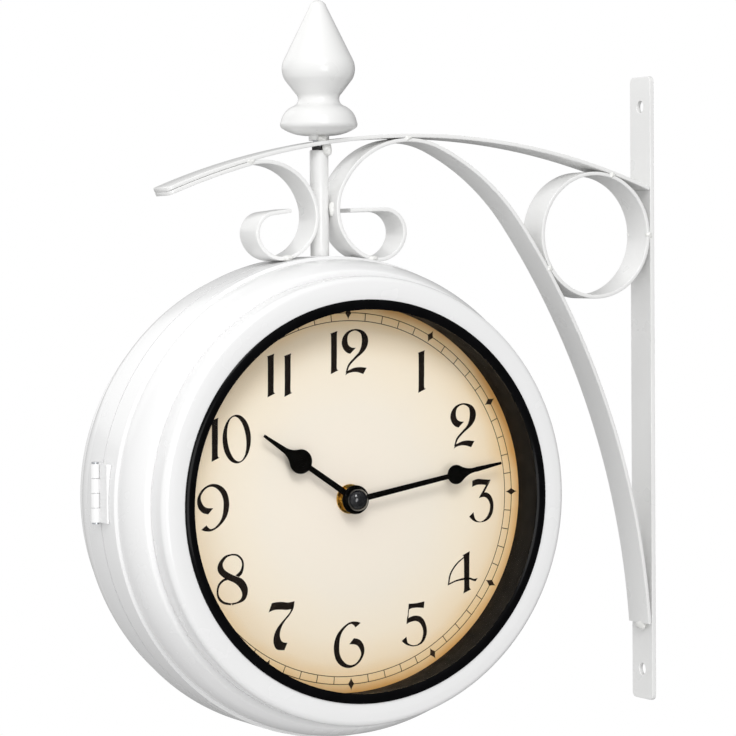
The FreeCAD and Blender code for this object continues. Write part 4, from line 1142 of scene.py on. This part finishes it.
    def minute_track(self) -> None:
        """Two fine circles joined by a tick at each minute, with a lozenge at each hour."""
        ribbons = [self.hoop(self.outer_circle, self.circle_width),
                   self.hoop(self.inner_circle, self.circle_width)]
        for minute in range(60):
            turn = math.radians(6 * minute)
            ahead = np.array([math.sin(turn), math.cos(turn)])
            aside = np.array([ahead[1], -ahead[0]])
            if minute % 5 == 0:
                ribbons.append(self.lozenge(ahead, aside))
                continue
            half = aside * self.tick_width / 2
            line = np.array([[ahead * reach + half, ahead * reach - half]
                             for reach in (self.inner_circle, self.outer_circle)])
            ribbons.append((line, grid_faces(2, 2, False, False)))
        self.print_flat(f"{self.side.word}_minute_track", ribbons, self.finishes.fine_ink,
                        self.ink_rise * 0.8)

    def build(self) -> None:
        """Build and dress the dial."""
        back = self.face - self.sheet
        edge = CaseHalf.disc_profile(self.radius, back, self.face)[1:-1]
        profile = np.concatenate([[(self.hub_bore, back)], edge, [(self.hub_bore, self.face)]])
        sheet = turned(f"{self.side.word}_printed_dial", profile, self.side)
        dress(sheet, self.finishes.dial, self.side.carrier)
        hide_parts(f"{self.side.word}_dial")
        self.numerals()
        self.minute_track()
        log.info("dial %s", self.side.word)


# ------------------------------------------------------------------ hands and movement
@dataclass
class Works:
    """Hands, their fastening and the movement behind one dial."""

    finishes: Finishes
    side: Side
    cap_radius: float = 5.5
    cap_base: float = 40.1
    cap_rise: float = 3.8
    shaft_radius: float = 1.66
    shaft_seat: float = 1.65
    boss_radius: float = 7.2
    boss_bore: float = 2.7
    boss_base: float = 37.4
    boss_top: float = 38.9

    def cap(self) -> bpy.types.Object:
        """Domed cap nut with a short straight edge, closed on the shaft."""
        r, b = self.cap_radius, self.cap_base
        dome = arc_points((r, b + 0.8), (r * 0.745, b + 2.75), (0.0, b + self.cap_rise), 16)
        line = np.concatenate([[(self.shaft_radius, b), (r - 0.2, b), (r, b + 0.2)], dome,
                               [(0.0, b + self.shaft_seat),
                                (self.shaft_radius, b + self.shaft_seat)]])
        return turned(f"{self.side.word}_domed_cap", line, self.side, 64, 40.0)

    def boss(self) -> bpy.types.Object:
        """Raised black collar of the hour hand under the minute hand."""
        bore, radius, base, top = self.boss_bore, self.boss_radius, self.boss_base, self.boss_top
        return turned(f"{self.side.word}_hour_boss",
                      rounded([(bore, base, 0), (radius, base, 0.2), (radius, top, 0.6),
                               (bore, top, 0)]), self.side, 96, 40.0)

    def build(self) -> None:
        """Build and dress hands, fastening and movement."""
        word, finishes = self.side.word, self.finishes
        dress(self.boss(), finishes.hand_black, f"{word}_hour")
        cap = dress(self.cap(), finishes.cap_black, f"{word}_minute")
        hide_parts(f"{word}_hand_cap")
        copies = (
            ("hour_hand", 0.14, finishes.hand_black, "hand_black"),
            ("minute_hand", 0.14, finishes.hand_black, "hand_black"),
            ("washer", 0.15, finishes.brass, "brass_work"),
            ("nut", 0.25, finishes.brass, "brass_work"),
            ("movement", 0.6, finishes.movement, "movement_case"),
            ("setting_knob", 0.3, finishes.knob, "setting_wheel"),
            ("dial_clips", 0.1, finishes.zinc, "bright_steel"),
            ("contacts", 0.0, finishes.zinc, "bright_steel"),
            ("battery", 0.0, finishes.jacket, "cell_jacket"),
        )
        for node, bevel, finish, slot in copies:
            dress(copied(f"{word}_{node}", f"{word}_{node}_finished", bevel), finish)
        for node, finish in (("bushing", finishes.brass), ("hour_tube", finishes.brass),
                             ("minute_shaft", finishes.steel)):
            dress_node(f"{word}_{node}", finish)
        log.info("works %s", word)


@dataclass
class Fittings:
    """Hinge between the case halves and the catch opposite it."""

    finishes: Finishes

    def build(self) -> None:
        """Dress the hinge and the catch."""
        copies = (
            ("hinge_leaf_fixed", 0.15, self.finishes.case_paint, "white_case"),
            ("hinge_leaf_door", 0.15, self.finishes.case_paint, "white_case"),
            ("catch_magnet", 0.3, self.finishes.ferrite, "magnet"),
            ("catch_keeper", 0.15, self.finishes.zinc, "bright_steel"),
        )
        for node, bevel, finish, slot in copies:
            dress(copied(node, f"{node}_finished", bevel), finish)
        dress_node("hinge_pin", self.finishes.zinc)
        log.info("fittings")


# ------------------------------------------------------------------ studio
@dataclass
class Studio:
    """Pale floor, white surroundings, soft lights and the camera of the photograph."""

    yaw: float = -27.242395
    elevation: float = 1.902465
    roll: float = -0.428497
    focal_px: float = 3000.0
    offset_px: tuple[float, float] = (3.5585, 133.9636)
    distance_mm: float = 1481.16429
    frame_px: float = 736.0
    ring_depth: float = 55.3697
    sky_way: tuple[float, float, float] = (-0.86, 0.0, 0.50)
    sky_range: tuple[float, float, float, float] = (-0.70, 1.0, 0.22, 0.92)
    floor_height: float = -1.2
    floor_reach: float = 0.7
    aim_shift: tuple[float, float, float] = (0.05, 0.0, 0.05)
    lamps: tuple = (("key_light", (-0.75, -1.8, 1.35), 0.8, 19.0),
                    ("front_light", (-0.5, -2.3, -0.05), 0.9, 12.0),
                    ("back_light", (-0.7, 1.6, 0.9), 1.4, 4.0))

    def camera(self) -> None:
        """Place the camera so that the dial's rim falls where the photograph shows it."""
        a, e, r = (math.radians(v) for v in (self.yaw, self.elevation, self.roll))
        back = Vector((math.sin(a) * math.cos(e), -math.cos(a) * math.cos(e), math.sin(e)))
        right = Vector((math.cos(a), math.sin(a), 0.0))
        up = right.cross(-back)
        across = math.cos(r) * right + math.sin(r) * up
        upright = -math.sin(r) * right + math.cos(r) * up
        shift = across * self.offset_px[0] - upright * self.offset_px[1]
        place = back * self.distance_mm - shift * self.distance_mm / self.focal_px
        place = place * MM + Vector(CASE_CENTRE) + Vector((0, -self.ring_depth * MM, 0))
        data = bpy.data.cameras.new("photo_camera")
        data.sensor_width = 36.0
        data.sensor_fit = "HORIZONTAL"
        data.lens = self.focal_px / self.frame_px * 36.0
        data.clip_end = 20.0
        camera = bpy.data.objects.new("photo_camera", data)
        turn = Matrix((across, upright, back)).transposed().to_4x4()
        camera.matrix_world = Matrix.Translation(place) @ turn
        bpy.context.scene.collection.objects.link(camera)
        bpy.context.scene.camera = camera

    def lamp(self, name: str, place: Sequence[float], size: float, power: float) -> None:
        """Square soft light at a place, turned to the middle of the clock."""
        data = bpy.data.lights.new(name, "AREA")
        data.size = size
        data.energy = power
        lamp = bpy.data.objects.new(name, data)
        lamp.location = place
        aim = Vector(CASE_CENTRE) + Vector(self.aim_shift)
        lamp.rotation_euler = (aim - Vector(place)).to_track_quat("-Z", "Y").to_euler()
        bpy.context.scene.collection.objects.link(lamp)

    def surroundings(self) -> None:
        """White surroundings that light the clock more from the upper left than from below.

        With l the unit vector sky_way, the strength in a direction d rises smoothly with d . l
        between the limits of sky_range.
        """
        world = bpy.data.worlds.new("white studio")
        bpy.context.scene.world = world
        world.use_nodes = True
        tree = world.node_tree
        light = tree.nodes["Background"]
        light.inputs["Color"].default_value = (1, 1, 1, 1)
        way = tree.nodes.new("ShaderNodeTexCoord")
        lean = tree.nodes.new("ShaderNodeVectorMath")
        lean.operation = "DOT_PRODUCT"
        lean.inputs[1].default_value = Vector(self.sky_way).normalized()
        tree.links.new(way.outputs["Generated"], lean.inputs[0])
        level = tree.nodes.new("ShaderNodeMapRange")
        level.interpolation_type = "SMOOTHSTEP"
        for name, value in zip(("From Min", "From Max", "To Min", "To Max"), self.sky_range):
            level.inputs[name].default_value = value
        tree.links.new(lean.outputs["Value"], level.inputs["Value"])
        tree.links.new(level.outputs["Result"], light.inputs["Strength"])
        seen = tree.nodes.new("ShaderNodeBackground")
        seen.inputs["Color"].default_value = (1, 1, 1, 1)
        seen.inputs["Strength"].default_value = 1.0
        path = tree.nodes.new("ShaderNodeLightPath")
        mix = tree.nodes.new("ShaderNodeMixShader")
        tree.links.new(path.outputs["Is Camera Ray"], mix.inputs[0])
        tree.links.new(light.outputs[0], mix.inputs[1])
        tree.links.new(seen.outputs[0], mix.inputs[2])
        tree.links.new(mix.outputs[0], tree.nodes["World Output"].inputs["Surface"])

    def floor(self) -> None:
        """Pale floor well below the hanging clock, white where the camera sees it."""
        line = np.linspace(-self.floor_reach, self.floor_reach, 3)
        across, along = np.meshgrid(line, line, indexing="ij")
        points = np.stack([across, along, np.full_like(across, self.floor_height)], axis=-1)
        floor = make_mesh("studio_floor", points, grid_faces(3, 3, False, False), None, False)
        tree = Nodes("white studio floor")
        tree.surface(Base_Color=hex_linear("#E9E9E9"), Roughness=0.9)
        path = tree.add("LightPath")
        shine = tree.add("Emission", None, Color=(1, 1, 1, 1), Strength=1.0)
        mix = tree.add("MixShader", None, Fac=path.outputs["Is Camera Ray"],
                       **{"1": tree.shader.outputs["BSDF"], "2": shine.outputs["Emission"]})
        tree.feed(tree.output, "Surface", mix.outputs["Shader"])
        floor.data.materials.append(tree.material)

    def build(self) -> None:
        """Set up view, floor, surroundings, lights and camera."""
        bpy.context.scene.view_settings.view_transform = "Standard"
        self.surroundings()
        self.floor()
        for lamp in self.lamps:
            self.lamp(*lamp)
        self.camera()


def main() -> None:
    """Build the clock and its studio in order."""
    logging.basicConfig(level=logging.INFO, format="%(name)s: %(message)s")
    finishes = Finishes()
    Bracket(finishes).build()
    for side in Side:
        CaseHalf(finishes, side).build()
        Dial(finishes, side).build()
        Works(finishes, side).build()
    Fittings(finishes).build()
    Studio().build()


if __name__ == "__main__":
    main()
